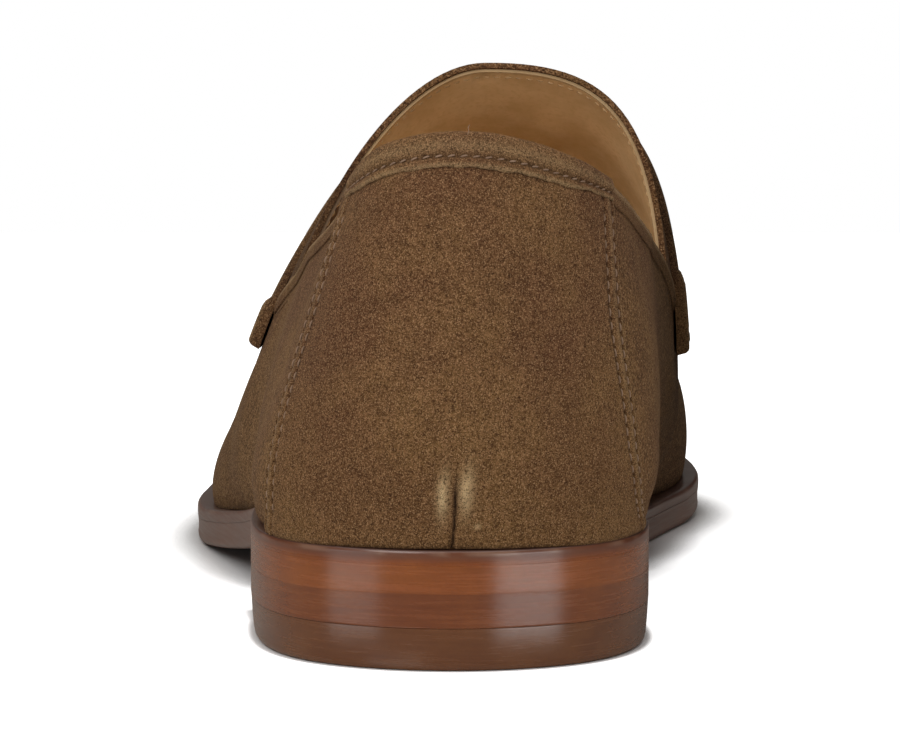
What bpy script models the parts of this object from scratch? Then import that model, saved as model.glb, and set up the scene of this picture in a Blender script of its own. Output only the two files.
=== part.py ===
"""A left suede loafer on a stacked leather heel, built piece by piece as a shoemaker would.

Every piece of the upper comes from one function, last_point, which is the shape of the last.
Sizes are in millimetres in the shoe's own frame: x to the medial side, y from the back of the
heel to the toe, z up from the floor. MM turns them to metres when a mesh is made.
"""

import math

import bmesh
import bpy
import numpy as np

MM = 0.001
LATERAL, MEDIAL = -1, 1

# Driving dimensions
GAP = 0.3
WALL = 2.2
COUNTER_THICK = 1.0
STRAP_THICK = 1.7
BINDING_THICK = 1.0
WELT_THICK = 2.1
OUTSOLE_THICK = 4.7
TOP_PIECE_HEIGHT = 6.9
INSOLE_THICK = 2.6
WELT_INSIDE = 8.2
WELT_OUTSIDE = 0.1
INSOLE_CLEARANCE = 0.8
HEEL_BREAST_Y = 72.0
SOLE_DROP = GAP + WELT_THICK + GAP + OUTSOLE_THICK

# Rounded edges: how far each cuts in, and how far it runs down or up the side
OUTSOLE_FOOT_ROUND = (0.9, 0.8)
OUTSOLE_TOP_ROUND = (0.4, 0.5)
WELT_FOOT_ROUND = (0.5, 0.4)
WELT_TOP_ROUND = (0.7, 0.7)
INSOLE_ROUND = (0.8, 0.8)
LIFT_ROUND = (0.3, 0.4)
TOP_PIECE_FOOT_ROUND = (0.8, 0.9)
TOP_PIECE_TOP_ROUND = (0.2, 0.3)
TOP_PIECE_INSET = (0.5, 0.1)

# Plan of the feather edge, where the upper meets the welt, from the heel round the lateral side
FEATHER_OUTLINE = [
    # x, y
    (0.5, 2.0),
    (-21.2, 11.4),
    (-31.2, 38.0),
    (-32.6, 84.0),
    (-38.6, 126.0),
    (-48.6, 180.0),
    (-45.4, 226.0),
    (-33.0, 267.0),
    (3.0, 294.5),
    (35.5, 270.0),
    (46.0, 244.0),
    (48.2, 221.0),
    (41.6, 190.0),
    (34.0, 160.0),
    (27.6, 118.0),
    (27.8, 78.0),
    (31.4, 38.0),
    (22.0, 11.4),
]

# Height of the feather edge along the foot: heel seat, waist, flat tread and toe spring
FEATHER_HEIGHT = [
    # y, z
    (-3.0, 19.5),
    (60.0, 19.2),
    (85.0, 17.2),
    (120.0, 12.2),
    (150.0, 8.8),
    (170.0, SOLE_DROP),
    (198.0, SOLE_DROP),
    (216.0, 8.2),
    (240.0, 9.9),
    (268.0, 12.9),
    (299.0, 17.4),
]

# How far the sole stands out beyond the feather edge
SOLE_MARGIN = [
    # y, margin
    (0.0, 2.0),
    (60.0, 2.0),
    (175.0, 3.2),
    (296.0, 3.4),
]

# The last's top line: a ridge over the instep and toe, and the cone above the heel
RIDGE = [
    # y, x, z
    (38.0, 9.0, 112.0),
    (70.0, 9.6, 110.5),
    (100.0, 8.6, 103.5),
    (119.0, 5.6, 96.2),
    (135.0, 5.8, 87.5),
    (155.0, 6.0, 77.2),
    (180.0, 6.4, 66.5),
    (210.0, 6.0, 56.5),
    (245.0, 4.0, 49.5),
]

# Sections of the last: how far and how high each side bulges, then how its curve rises to the ridge
SECTION_COLUMNS = ("bulge", "bulge_height", "rise", "shoulder")
SECTIONS = {
    LATERAL: [
        # y, bulge, bulge_height, rise, shoulder
        (2.0, 2.6, 20.0, 0.50, 0.75),
        (14.0, 2.0, 11.0, 0.26, 0.50),
        (38.0, 1.9, 7.0, 0.12, 0.35),
        (80.0, 1.4, 12.0, 0.22, 0.42),
        (105.0, 1.4, 9.0, 0.28, 0.49),
        (122.0, 2.4, 9.0, 0.30, 0.38),
        (146.0, 0.8, 6.0, 0.46, 0.27),
        (164.0, 0.5, 4.0, 0.28, 0.41),
        (180.0, 0.4, 3.0, 0.22, 0.44),
        (230.0, 0.6, 5.0, 0.42, 0.55),
        (296.0, 0.6, 5.0, 0.55, 0.62),
    ],
    MEDIAL: [
        # y, bulge, bulge_height, rise, shoulder
        (2.0, 2.6, 20.0, 0.50, 0.75),
        (38.0, 3.6, 11.0, 0.46, 0.46),
        (80.0, 9.2, 22.0, 0.50, 0.64),
        (118.0, 13.6, 25.0, 0.78, 0.71),
        (145.0, 12.6, 22.0, 0.84, 0.64),
        (180.0, 4.0, 14.0, 0.58, 0.58),
        (222.0, 1.0, 9.0, 0.50, 0.60),
        (296.0, 0.6, 5.0, 0.55, 0.62),
    ],
}
BULGE_SHARE = 0.22
SPINE_HEEL_Y, SPINE_TOE_Y, SPINE_ROUND = 40.0, 243.0, 22.0

# Height of the collar's edge along the foot, from the back to the notch beside the tongue
COLLAR_HEIGHT = [
    # y, lateral z, medial z
    (2.0, 84.8, 84.8),
    (10.0, 79.4, 80.4),
    (24.0, 73.8, 75.2),
    (38.0, 70.1, 72.1),
    (60.0, 65.5, 67.5),
    (85.0, 61.6, 64.0),
    (98.0, 58.6, 61.0),
    (110.0, 55.6, 56.6),
]
NOTCH_Y, THROAT_Y = 110.0, 119.0

# Grid of the upper: stations along each side, and where their lower ends lie beside the tongue
COLLAR_STATIONS, TONGUE_STATIONS, RIDGE_STATIONS, UPPER_STEPS = 16, 7, 22, 12
UPRIGHT_Y, NOTCH_FOOT_Y, THROAT_FOOT_Y = 70.0, 102.0, 150.0

# Overlays, in feather stations and in millimetres along the section
COUNTER_SEAM = {
    # foot y, top y, how the seam bends between them
    LATERAL: (23.5, 14.7, 1.0),
    MEDIAL: (33.0, 19.6, 2.7),
}
COUNTER_FOOT_SHARE = 0.005
BINDING_WIDTH = [
    # y, how far the strip reaches down the outside
    (2.0, 5.2),
    (6.0, 5.0),
    (14.0, 3.6),
    (22.0, 2.6),
    (110.0, 2.2),
]
BINDING_INSIDE, BINDING_CORNER = 3.6, 0.5
BINDING_END_Y = 108.5
STRAP_END_HEIGHT = {LATERAL: 42.0, MEDIAL: 41.0}
STRAP_EDGES = [
    # share of the way from the end to the ridge, back y, front y
    (0.0, 123.0, 161.0),
    (0.5, 125.6, 156.5),
    (0.9, 127.6, 153.6),
    (1.0, 127.6, 153.6),
]

SUEDE_BROWN = (0.115, 0.062, 0.026)
EDGE_BROWN = (0.16, 0.060, 0.024)
TOP_PIECE_BROWN = (0.085, 0.042, 0.024)
WELT_BROWN = (0.095, 0.034, 0.018)
LINING_TAN = (0.42, 0.235, 0.098)


def smooth_table(rows, column=1):
    """A smooth curve through one column of a table, with no overshoot between its rows."""
    x = np.array([row[0] for row in rows], float)
    y = np.array([row[column] for row in rows], float)
    width = np.diff(x)
    slope = np.diff(y) / width
    tangent = np.zeros_like(y)
    tangent[0], tangent[-1] = slope[0], slope[-1]
    for i in range(1, len(x) - 1):
        if slope[i - 1] * slope[i] > 0:
            before = 2 * width[i] + width[i - 1]
            after = width[i] + 2 * width[i - 1]
            tangent[i] = (before + after) / (before / slope[i - 1] + after / slope[i])

    def at(value):
        value = np.clip(value, x[0], x[-1])
        i = np.clip(np.searchsorted(x, value, side="right") - 1, 0, len(x) - 2)
        t = (value - x[i]) / width[i]
        return (
            y[i] * (1 + 2 * t) * (1 - t) ** 2
            + tangent[i] * width[i] * t * (1 - t) ** 2
            + y[i + 1] * t * t * (3 - 2 * t)
            + tangent[i + 1] * width[i] * t * t * (t - 1)
        )

    return at


def closed_curve(points, per_span=240):
    """Points close together on a smooth closed curve through the given ones."""
    p = np.array(points, float)
    count = len(p)
    chord = np.linalg.norm(np.roll(p, -1, axis=0) - p, axis=1)
    matrix = np.zeros((count, count))
    right = np.zeros_like(p)
    for i in range(count):
        before, after, following = chord[i - 1], chord[i], (i + 1) % count
        matrix[i, i - 1] += after
        matrix[i, i] += 2 * (before + after)
        matrix[i, following] += before
        right[i] = 3 * (after / before * (p[i] - p[i - 1]) + before / after * (p[following] - p[i]))
    tangent = np.linalg.solve(matrix, right)
    t = np.linspace(0, 1, per_span, endpoint=False)[:, None]
    spans = []
    for i in range(count):
        following = (i + 1) % count
        spans.append(
            p[i] * (1 + 2 * t) * (1 - t) ** 2
            + tangent[i] * chord[i] * t * (1 - t) ** 2
            + p[following] * t * t * (3 - 2 * t)
            + tangent[following] * chord[i] * t * t * (t - 1)
        )
    return np.concatenate(spans)


def split_outline(loop):
    """The loop's two sides, each from the back of the heel to the tip of the toe."""
    loop = np.roll(loop, -int(np.argmin(loop[:, 1])), axis=0)
    tip = int(np.argmax(loop[:, 1]))
    medial = np.concatenate([loop[:1], loop[tip:][::-1]])
    return {LATERAL: loop[: tip + 1], MEDIAL: medial}


FEATHER = split_outline(closed_curve(FEATHER_OUTLINE))
BACK_Y, TIP_Y = FEATHER[LATERAL][0, 1], FEATHER[LATERAL][-1, 1]
feather_height = smooth_table(FEATHER_HEIGHT)
sole_margin = smooth_table(SOLE_MARGIN)
ridge_x, ridge_z = smooth_table(RIDGE, 1), smooth_table(RIDGE, 2)
collar_height = {LATERAL: smooth_table(COLLAR_HEIGHT, 1), MEDIAL: smooth_table(COLLAR_HEIGHT, 2)}
section_curve = {
    side: {name: smooth_table(rows, i + 1) for i, name in enumerate(SECTION_COLUMNS)}
    for side, rows in SECTIONS.items()
}
strap_back, strap_front = smooth_table(STRAP_EDGES, 1), smooth_table(STRAP_EDGES, 2)
binding_width = smooth_table(BINDING_WIDTH)


def feather_x(side, y):
    return np.interp(y, FEATHER[side][:, 1], FEATHER[side][:, 0])


def feather_normal(side, y):
    """The direction out of the feather edge, in plan."""
    tangent = np.gradient(FEATHER[side], axis=0)
    tangent[[0, -1]] = (side, 0.0), (-side, 0.0)
    normal = np.stack([tangent[:, 1], -tangent[:, 0]], axis=1) * side
    normal /= np.linalg.norm(normal, axis=1, keepdims=True)
    return np.stack([np.interp(y, FEATHER[side][:, 1], normal[:, k]) for k in (0, 1)], axis=1)


def spine_y(y):
    """Where along the ridge the section from this feather station ends: it fans out at heel and toe."""
    after_heel = 0.5 * (y + SPINE_HEEL_Y + np.hypot(y - SPINE_HEEL_Y, SPINE_ROUND))
    return 0.5 * (after_heel + SPINE_TOE_Y - np.hypot(after_heel - SPINE_TOE_Y, SPINE_ROUND))


def last_point(side, y, share):
    """The last's surface: y is the station on the feather edge, share runs from there (0) to the ridge (1)."""
    y, share = np.broadcast_arrays(np.asarray(y, float), np.asarray(share, float))
    top_y = spine_y(y)
    top_x, top_z = ridge_x(top_y), ridge_z(top_y)
    reach_x, reach_y = feather_x(side, y) - top_x, y - top_y
    reach = np.hypot(reach_x, reach_y)
    fall = (ridge_z(top_y + 1.0) - ridge_z(top_y - 1.0)) / 2.0 * reach_y / reach
    column = {name: curve(y) for name, curve in section_curve[side].items()}
    low_z = feather_height(y)
    wide, wide_z = reach + column["bulge"], low_z + column["bulge_height"]

    low = np.clip(share / BULGE_SHARE, 0, 1)
    low_r = reach + column["bulge"] * (1 - (1 - low) ** 2)
    low_height = low_z + column["bulge_height"] * low

    t = np.clip((share - BULGE_SHARE) / (1 - BULGE_SHARE), 0, 1)
    handle_z = wide_z + column["rise"] * (top_z - wide_z)
    handle_r = column["shoulder"] * wide
    high_r = wide * (1 - t) ** 2 * (1 + 2 * t) + 3 * handle_r * (1 - t) * t * t
    high_height = (
        wide_z * (1 - t) ** 3
        + 3 * handle_z * (1 - t) ** 2 * t
        + 3 * (top_z + fall * handle_r) * (1 - t) * t * t
        + top_z * t**3
    )
    r = np.where(share < BULGE_SHARE, low_r, high_r)
    z = np.where(share < BULGE_SHARE, low_height, high_height)
    return np.stack([top_x + r * reach_x / reach, top_y + r * reach_y / reach, z], axis=-1)


def last_normal(side, y, share, step=0.002):
    """The direction out of the last's surface."""
    y, share = np.broadcast_arrays(np.asarray(y, float), np.asarray(share, float))
    span = TIP_Y - BACK_Y
    early, late = np.clip(y - step * span, BACK_Y, TIP_Y), np.clip(y + step * span, BACK_Y, TIP_Y)
    below, above = np.clip(share - step, 0, 1), np.clip(share + step, 0, 1)
    along = last_point(side, late, share) - last_point(side, early, share)
    up = last_point(side, y, above) - last_point(side, y, below)
    normal = np.cross(up, along) * -side
    return normal / np.linalg.norm(normal, axis=-1, keepdims=True)


def at_height(side, y, height):
    """The share at which the section from station y reaches a height above the floor."""
    shares = np.linspace(0, 1, 801)
    z = last_point(side, y, shares)[:, 2]
    return float(np.interp(height, z, shares))


def below(side, y, share, distance):
    """The share that lies a distance down the section from another one."""
    shares = np.linspace(0, share, 401)
    points = last_point(side, y, shares)
    walked = np.concatenate([[0], np.cumsum(np.linalg.norm(np.diff(points, axis=0), axis=1))])
    return float(np.interp(walked[-1] - distance, walked, shares))


def collar_share(side, y):
    return at_height(side, y, collar_height[side](y))


def end_spacing(count, end=math.pi):
    """Shares from 0 to 1 that crowd together at a round end, or at both."""
    return (1 - np.cos(np.linspace(0, end, count + 1))) / (1 - math.cos(end))


def material(name, colour, roughness):
    made = bpy.data.materials.new(name)
    made.use_nodes = True
    shader = made.node_tree.nodes["Principled BSDF"]
    shader.inputs["Base Color"].default_value = (*colour, 1.0)
    shader.inputs["Roughness"].default_value = roughness
    shader.inputs["Metallic"].default_value = 0.0
    return made


def make_object(name, points, faces, surface, parent):
    """One named object from points in millimetres, shaded smooth with crisp edges."""
    mesh = bpy.data.meshes.new(name)
    bm = bmesh.new()
    verts = [bm.verts.new(np.asarray(p) * MM) for p in points]
    for face in faces:
        bm.faces.new([verts[i] for i in face])
    bm.to_mesh(mesh)
    bm.free()
    mesh.materials.append(surface)
    mesh.shade_smooth()
    mesh.set_sharp_from_angle(angle=math.radians(40))
    made = bpy.data.objects.new(name, mesh)
    bpy.context.scene.collection.objects.link(made)
    made.parent = parent
    return made


def thicken(made, thickness, outwards):
    """A wall of even thickness on one side of a sheet."""
    solidify = made.modifiers.new("wall", "SOLIDIFY")
    solidify.thickness = thickness * MM
    solidify.offset = 1.0 if outwards else -1.0
    solidify.use_even_offset = True
    solidify.use_rim = True


def grid_faces(rows, columns):
    return [
        (i * columns + j, i * columns + j + 1, (i + 1) * columns + j + 1, (i + 1) * columns + j)
        for i in range(rows - 1)
        for j in range(columns - 1)
    ]


def upper_stations():
    """Rows of the upper's grid on one side: foot y, top y and share of the way up the tongue's edge."""
    rows = []
    for y in BACK_Y + (NOTCH_Y - BACK_Y) * end_spacing(COLLAR_STATIONS, math.pi / 2):
        lean = max(0.0, (y - UPRIGHT_Y) / (NOTCH_Y - UPRIGHT_Y))
        rows.append((y - lean * (NOTCH_Y - NOTCH_FOOT_Y), y, 0.0))
    for i in range(1, TONGUE_STATIONS + 1):
        t = i / TONGUE_STATIONS
        foot = NOTCH_FOOT_Y + (THROAT_FOOT_Y - NOTCH_FOOT_Y) * t
        rows.append((foot, NOTCH_Y + (THROAT_Y - NOTCH_Y) * math.sin(math.pi / 2 * t), t))
    for i in range(1, RIDGE_STATIONS + 1):
        t = math.sin(math.pi / 2 * i / RIDGE_STATIONS)
        top = THROAT_Y + (TIP_Y - THROAT_Y) * t
        rows.append((top + (THROAT_FOOT_Y - THROAT_Y) * (1 - t) ** 2, top, 1.0))
    return rows


def upper(surface, parent):
    """One hollow wall: heel, quarters, tongue, vamp and toe, open at the collar and underneath."""
    rows = upper_stations()
    points, index, faces = [], {}, []
    for side in (LATERAL, MEDIAL):
        for i, (foot, top, tongue) in enumerate(rows):
            edge = collar_share(side, min(top, NOTCH_Y))
            last_share = edge + (1 - edge) * tongue
            for j in range(UPPER_STEPS + 1):
                t = j / UPPER_STEPS
                shared = i in (0, len(rows) - 1) or (j == UPPER_STEPS and tongue == 1.0)
                key = (0 if shared else side, i, j)
                if key not in index:
                    index[key] = len(points)
                    points.append(last_point(side, foot + (top - foot) * t, last_share * t))
        for i in range(len(rows) - 1):
            for j in range(UPPER_STEPS):
                corners = [(i, j), (i + 1, j), (i + 1, j + 1), (i, j + 1)]
                face = [index.get((side, *c), index.get((0, *c))) for c in corners]
                faces.append(face[::-1] if side == LATERAL else face)
    made = make_object("upper", points, faces, surface, parent)
    thicken(made, WALL, outwards=False)


def heel_counter(surface, parent):
    """The suede panel sewn round the back of the heel, from seam to seam, wider at its foot."""
    along, steps = 12, 10
    points = []
    spacing = end_spacing(along, math.pi / 2)
    stations = [(LATERAL, t) for t in spacing[::-1]] + [(MEDIAL, t) for t in spacing[1:]]
    for side, t in stations:
        foot, top = (BACK_Y + (seam - BACK_Y) * t for seam in COUNTER_SEAM[side][:2])
        edge = below(side, top, collar_share(side, top), binding_width(top) + GAP)
        for j in range(steps + 1):
            share = COUNTER_FOOT_SHARE + (edge - COUNTER_FOOT_SHARE) * j / steps
            y = top + (foot - top) * (1 - j / steps) ** COUNTER_SEAM[side][2]
            points.append(last_point(side, y, share) + GAP * last_normal(side, y, share))
    faces = [face[::-1] for face in grid_faces(len(stations), steps + 1)]
    made = make_object("heel_counter", points, faces, surface, parent)
    thicken(made, COUNTER_THICK, outwards=True)


def saddle_strap(surface, parent):
    """The strap over the instep, from half way down one side to half way down the other."""
    half, across = 14, 6
    points = []
    stations = [(LATERAL, i / half) for i in range(half + 1)]
    stations += [(MEDIAL, i / half) for i in range(half - 1, -1, -1)]
    for side, climb in stations:
        back, front = float(strap_back(climb)), float(strap_front(climb))
        for j in range(across + 1):
            y = back + (front - back) * j / across
            end = at_height(side, y, STRAP_END_HEIGHT[side])
            share = end + (1 - end) * climb
            points.append(last_point(side, y, share) + GAP * last_normal(side, y, share))
    faces = [face[::-1] for face in grid_faces(len(stations), across + 1)]
    made = make_object("saddle_strap", points, faces, surface, parent)
    thicken(made, STRAP_THICK, outwards=True)


def binding_profile(side, y):
    """The binding's section at one collar station: a strip folded over the wall's top edge."""
    top = collar_share(side, y)
    width = binding_width(y)
    outer_edge, inner_edge = below(side, y, top, width), below(side, y, top, BINDING_INSIDE)
    middle = below(side, y, top, width / 2)
    out = GAP + BINDING_THICK
    inside, inside_out = -WALL - GAP, -WALL - out

    def off(share, away, above=0.0):
        point, normal = last_point(side, y, share), last_normal(side, y, share)
        rise = last_point(side, y, top) - last_point(side, y, middle)
        return point + away * normal + above * rise / np.linalg.norm(rise)

    return [
        off(outer_edge, GAP),
        off(outer_edge, out),
        off(middle, out),
        off(top, out, GAP),
        off(top, out - BINDING_CORNER, out),
        off(top, inside_out + BINDING_CORNER, out),
        off(top, inside_out, GAP),
        off(inner_edge, inside_out),
        off(inner_edge, inside),
        off(top, inside, GAP),
        off(top, GAP, GAP),
    ]


def collar_binding(surface, parent):
    """The strip folded over the collar, from one side of the tongue round the back to the other."""
    count = 20
    stations = BACK_Y + (BINDING_END_Y - BACK_Y) * end_spacing(count, math.pi / 2)
    path = [(LATERAL, y) for y in stations[::-1]] + [(MEDIAL, y) for y in stations[1:]]
    points, faces = [], []
    for side, y in path:
        points += binding_profile(side, y)
    ring = len(points) // len(path)
    for i in range(len(path) - 1):
        for j in range(ring):
            a, b = i * ring + j, i * ring + (j + 1) % ring
            faces.append((a, b, b + ring, a + ring)[::-1])
    faces.append(tuple(range(ring)))
    faces.append(tuple(range((len(path) - 1) * ring, len(path) * ring))[::-1])
    make_object("collar_binding", points, faces, surface, parent)


def sole_loop(stations, away, drop, from_sole_edge=True):
    """A closed row of points round the sole, moved out from its edge or from the feather edge."""
    sides = {}
    for side in (LATERAL, MEDIAL):
        reach = away + (sole_margin(stations) if from_sole_edge else np.zeros_like(stations))
        plan = np.stack([feather_x(side, stations), stations], axis=1)
        plan += feather_normal(side, stations) * reach[:, None]
        sides[side] = np.column_stack([plan, feather_height(plan[:, 1]) - drop])
    whole = stations[-1] == TIP_Y
    return np.concatenate([sides[LATERAL], sides[MEDIAL][-2 if whole else None : 0 : -1]])


def skin(loops):
    """Faces between rows of points that run round the sole one above the other."""
    count = len(loops[0])
    return [
        (k * count + i, k * count + (i + 1) % count, (k + 1) * count + (i + 1) % count, (k + 1) * count + i)
        for k in range(len(loops) - 1)
        for i in range(count)
    ]


def cap(count, first, facing_up):
    """Strips across a loop, from each lateral station to the medial one."""
    faces = []
    for i in range(count // 2):
        strip = [i, i + 1, (count - i - 1) % count, (count - i) % count]
        strip = list(dict.fromkeys(strip))
        if len(strip) > 2:
            faces.append([first + k for k in (strip[::-1] if facing_up else strip)])
    return faces


def plate(name, loops, surface, parent):
    """A closed solid from loops that run from its lower face, up its side, to its upper face."""
    count = len(loops[0])
    faces = [face[::-1] for face in skin(loops)]
    faces += cap(count, 0, facing_up=False)
    faces += cap(count, (len(loops) - 1) * count, facing_up=True)
    make_object(name, np.concatenate(loops), faces, surface, parent)


def sole_stations(count=38):
    return BACK_Y + (TIP_Y - BACK_Y) * end_spacing(count)


def outsole(surface, parent):
    """Leather sole with ironed edges, and a raised bed inside the welt that carries the insole."""
    y = sole_stations()
    top = GAP + WELT_THICK + GAP
    loops = [
        sole_loop(y, -OUTSOLE_FOOT_ROUND[0], SOLE_DROP),
        sole_loop(y, 0.0, SOLE_DROP - OUTSOLE_FOOT_ROUND[1]),
        sole_loop(y, 0.0, top + OUTSOLE_TOP_ROUND[1]),
        sole_loop(y, -OUTSOLE_TOP_ROUND[0], top),
        sole_loop(y, -WELT_INSIDE - GAP, top, from_sole_edge=False),
        sole_loop(y, -WELT_INSIDE - GAP, GAP, from_sole_edge=False),
    ]
    plate("outsole", loops, surface, parent)


def welt(surface, parent):
    """The rim between sole and upper, all the way round."""
    y = sole_stations()
    low, high = GAP + WELT_THICK, GAP
    loops = [
        sole_loop(y, -WELT_INSIDE, low, from_sole_edge=False),
        sole_loop(y, WELT_OUTSIDE - WELT_FOOT_ROUND[0], low),
        sole_loop(y, WELT_OUTSIDE, low - WELT_FOOT_ROUND[1]),
        sole_loop(y, WELT_OUTSIDE, high + WELT_TOP_ROUND[1]),
        sole_loop(y, WELT_OUTSIDE - WELT_TOP_ROUND[0], high),
        sole_loop(y, -WELT_INSIDE, high, from_sole_edge=False),
    ]
    faces = [face[::-1] for face in skin(loops + loops[:1])]
    count = len(loops) * len(loops[0])
    faces = [[i % count for i in face] for face in faces]
    make_object("welt", np.concatenate(loops), faces, surface, parent)


def insole(surface, parent):
    """The footbed, just inside the upper's wall."""
    y = sole_stations()
    inset = -WALL - INSOLE_CLEARANCE
    loops = [
        sole_loop(y, inset, 0.0, from_sole_edge=False),
        sole_loop(y, inset, INSOLE_ROUND[1] - INSOLE_THICK, from_sole_edge=False),
        sole_loop(y, inset - INSOLE_ROUND[0], -INSOLE_THICK, from_sole_edge=False),
    ]
    plate("insole", loops, surface, parent)


def heel_loop(away, height):
    """A loop round the heel, closed by the straight breast. Height is a level or follows the sole."""
    whole = sole_stations()
    y = np.append(whole[whole < HEEL_BREAST_Y - GAP], HEEL_BREAST_Y)
    loop = sole_loop(y, away, SOLE_DROP + GAP)
    loop[[len(y) - 1, len(y)], 1] = HEEL_BREAST_Y
    if height is not None:
        loop[:, 2] = height
    return loop


def heel(lift_surface, top_surface, parent):
    """The stacked heel: a leather lift under the sole, and the top piece that meets the floor."""
    low = TOP_PIECE_HEIGHT + GAP
    inset, bevel = LIFT_ROUND
    rim = heel_loop(0.0, None)
    rim[:, 2] -= bevel
    loops = [heel_loop(-inset, low), heel_loop(0.0, low + bevel), rim, heel_loop(-inset, None)]
    plate("heel_lift", loops, lift_surface, parent)
    foot, top = TOP_PIECE_INSET
    loops = [
        heel_loop(-foot - TOP_PIECE_FOOT_ROUND[0], 0.0),
        heel_loop(-foot, TOP_PIECE_FOOT_ROUND[1]),
        heel_loop(-top, TOP_PIECE_HEIGHT - TOP_PIECE_TOP_ROUND[1]),
        heel_loop(-top - TOP_PIECE_TOP_ROUND[0], TOP_PIECE_HEIGHT),
    ]
    plate("top_piece", loops, top_surface, parent)


def main():
    for old in list(bpy.data.objects):
        bpy.data.objects.remove(old)
    edge = sole_loop(sole_stations(), WELT_OUTSIDE, 0.0)
    back = last_point(LATERAL, BACK_Y, np.linspace(0, 1, 101))[:, 1].min() - GAP - COUNTER_THICK
    middle_x, middle_y = (edge[:, 0].min() + edge[:, 0].max()) / 2, (back + edge[:, 1].max()) / 2
    shoe = bpy.data.objects.new("loafer", None)
    shoe.location = (-middle_x * MM, -middle_y * MM, 0.0)
    bpy.context.scene.collection.objects.link(shoe)
    bpy.context.view_layer.update()

    suede = material("brown_suede", SUEDE_BROWN, 0.95)
    heel(material("stacked_leather", EDGE_BROWN, 0.35), material("top_piece", TOP_PIECE_BROWN, 0.4), shoe)
    outsole(material("sole_leather", EDGE_BROWN, 0.35), shoe)
    welt(material("welt_leather", WELT_BROWN, 0.4), shoe)
    insole(material("sock_leather", LINING_TAN, 0.6), shoe)
    upper(suede, shoe)
    heel_counter(suede, shoe)
    saddle_strap(suede, shoe)
    collar_binding(suede, shoe)


main()
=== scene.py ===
# %% [markdown]
# # A brown suede loafer
# A left shoe seen from behind: a suede upper with a panel sewn round the heel, a bound collar, a strap
# over the instep, a tan leather lining, and a leather sole on a low stacked heel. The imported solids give
# the frame, so it is loaded first. Every piece below is laid on the same last as the solids.

import math

import bpy
import numpy as np
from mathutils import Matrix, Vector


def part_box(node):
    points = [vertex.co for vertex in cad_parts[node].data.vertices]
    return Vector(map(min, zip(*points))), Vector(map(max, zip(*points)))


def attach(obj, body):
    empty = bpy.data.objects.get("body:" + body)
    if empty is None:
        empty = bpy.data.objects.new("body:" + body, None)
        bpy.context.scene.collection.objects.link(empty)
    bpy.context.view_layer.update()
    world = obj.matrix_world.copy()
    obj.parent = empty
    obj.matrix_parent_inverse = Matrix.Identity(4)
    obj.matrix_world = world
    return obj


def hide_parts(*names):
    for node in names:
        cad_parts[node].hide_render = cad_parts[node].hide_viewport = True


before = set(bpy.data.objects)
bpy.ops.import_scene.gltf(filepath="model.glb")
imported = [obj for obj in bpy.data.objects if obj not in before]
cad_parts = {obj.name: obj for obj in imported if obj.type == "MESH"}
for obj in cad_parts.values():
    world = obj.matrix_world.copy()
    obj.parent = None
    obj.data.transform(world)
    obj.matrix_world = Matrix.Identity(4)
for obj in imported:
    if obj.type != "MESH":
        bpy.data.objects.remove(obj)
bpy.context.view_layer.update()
print("solids:", sorted(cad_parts))

# %% [markdown]
# ## The last
# A shoemaker pulls the upper over a last, a wooden foot. Its shape could be sculpted, but a few tables
# and one function are easier to check and to sample as finely as each piece needs. Sizes are in
# millimetres: x to the medial side, y from heel to toe, z up from the floor.

# %% Tables of the last's plan and heights
MM = 0.001
LATERAL, MEDIAL = -1, 1
WALL = 2.2
OUTSOLE_DROP, TOP_PIECE_HEIGHT = 7.4, 6.9
HEEL_BREAST_Y = 72.0

# x, y of the feather edge, where the upper meets the welt
FEATHER_OUTLINE = [
    (0.5, 2.0), (-21.2, 11.4), (-31.2, 38.0), (-32.6, 84.0), (-38.6, 126.0), (-48.6, 180.0),
    (-45.4, 226.0), (-33.0, 267.0), (3.0, 294.5), (35.5, 270.0), (46.0, 244.0), (48.2, 221.0),
    (41.6, 190.0), (34.0, 160.0), (27.6, 118.0), (27.8, 78.0), (31.4, 38.0), (22.0, 11.4),
]
# y, z
FEATHER_HEIGHT = [
    (-3.0, 19.5), (60.0, 19.2), (85.0, 17.2), (120.0, 12.2), (150.0, 8.8), (170.0, 7.4),
    (198.0, 7.4), (216.0, 8.2), (240.0, 9.9), (268.0, 12.9), (299.0, 17.4),
]
# y, how far the sole stands out
SOLE_MARGIN = [(0.0, 2.0), (60.0, 2.0), (175.0, 3.2), (296.0, 3.4)]
# y, x, z of the top line
RIDGE = [
    (38.0, 9.0, 112.0), (70.0, 9.6, 110.5), (100.0, 8.8, 103.5), (119.0, 6.1, 96.2), (135.0, 6.0, 87.5),
    (155.0, 6.0, 77.2), (180.0, 6.4, 66.5), (210.0, 6.0, 56.5), (245.0, 4.0, 49.5),
]
# y, lateral z, medial z of the collar's edge
COLLAR_HEIGHT = [
    (2.0, 84.8, 84.8), (10.0, 79.4, 80.4), (24.0, 73.8, 75.2), (38.0, 70.1, 72.1),
    (60.0, 65.5, 67.5), (85.0, 61.6, 64.0), (98.0, 58.6, 61.0), (110.0, 55.6, 56.6),
]

# %% Table of the last's sections
BULGE_SHARE = 0.22
SPINE_HEEL_Y, SPINE_TOE_Y, SPINE_ROUND = 40.0, 243.0, 22.0
SECTION_COLUMNS = ("bulge", "bulge_height", "rise", "shoulder")
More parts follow.
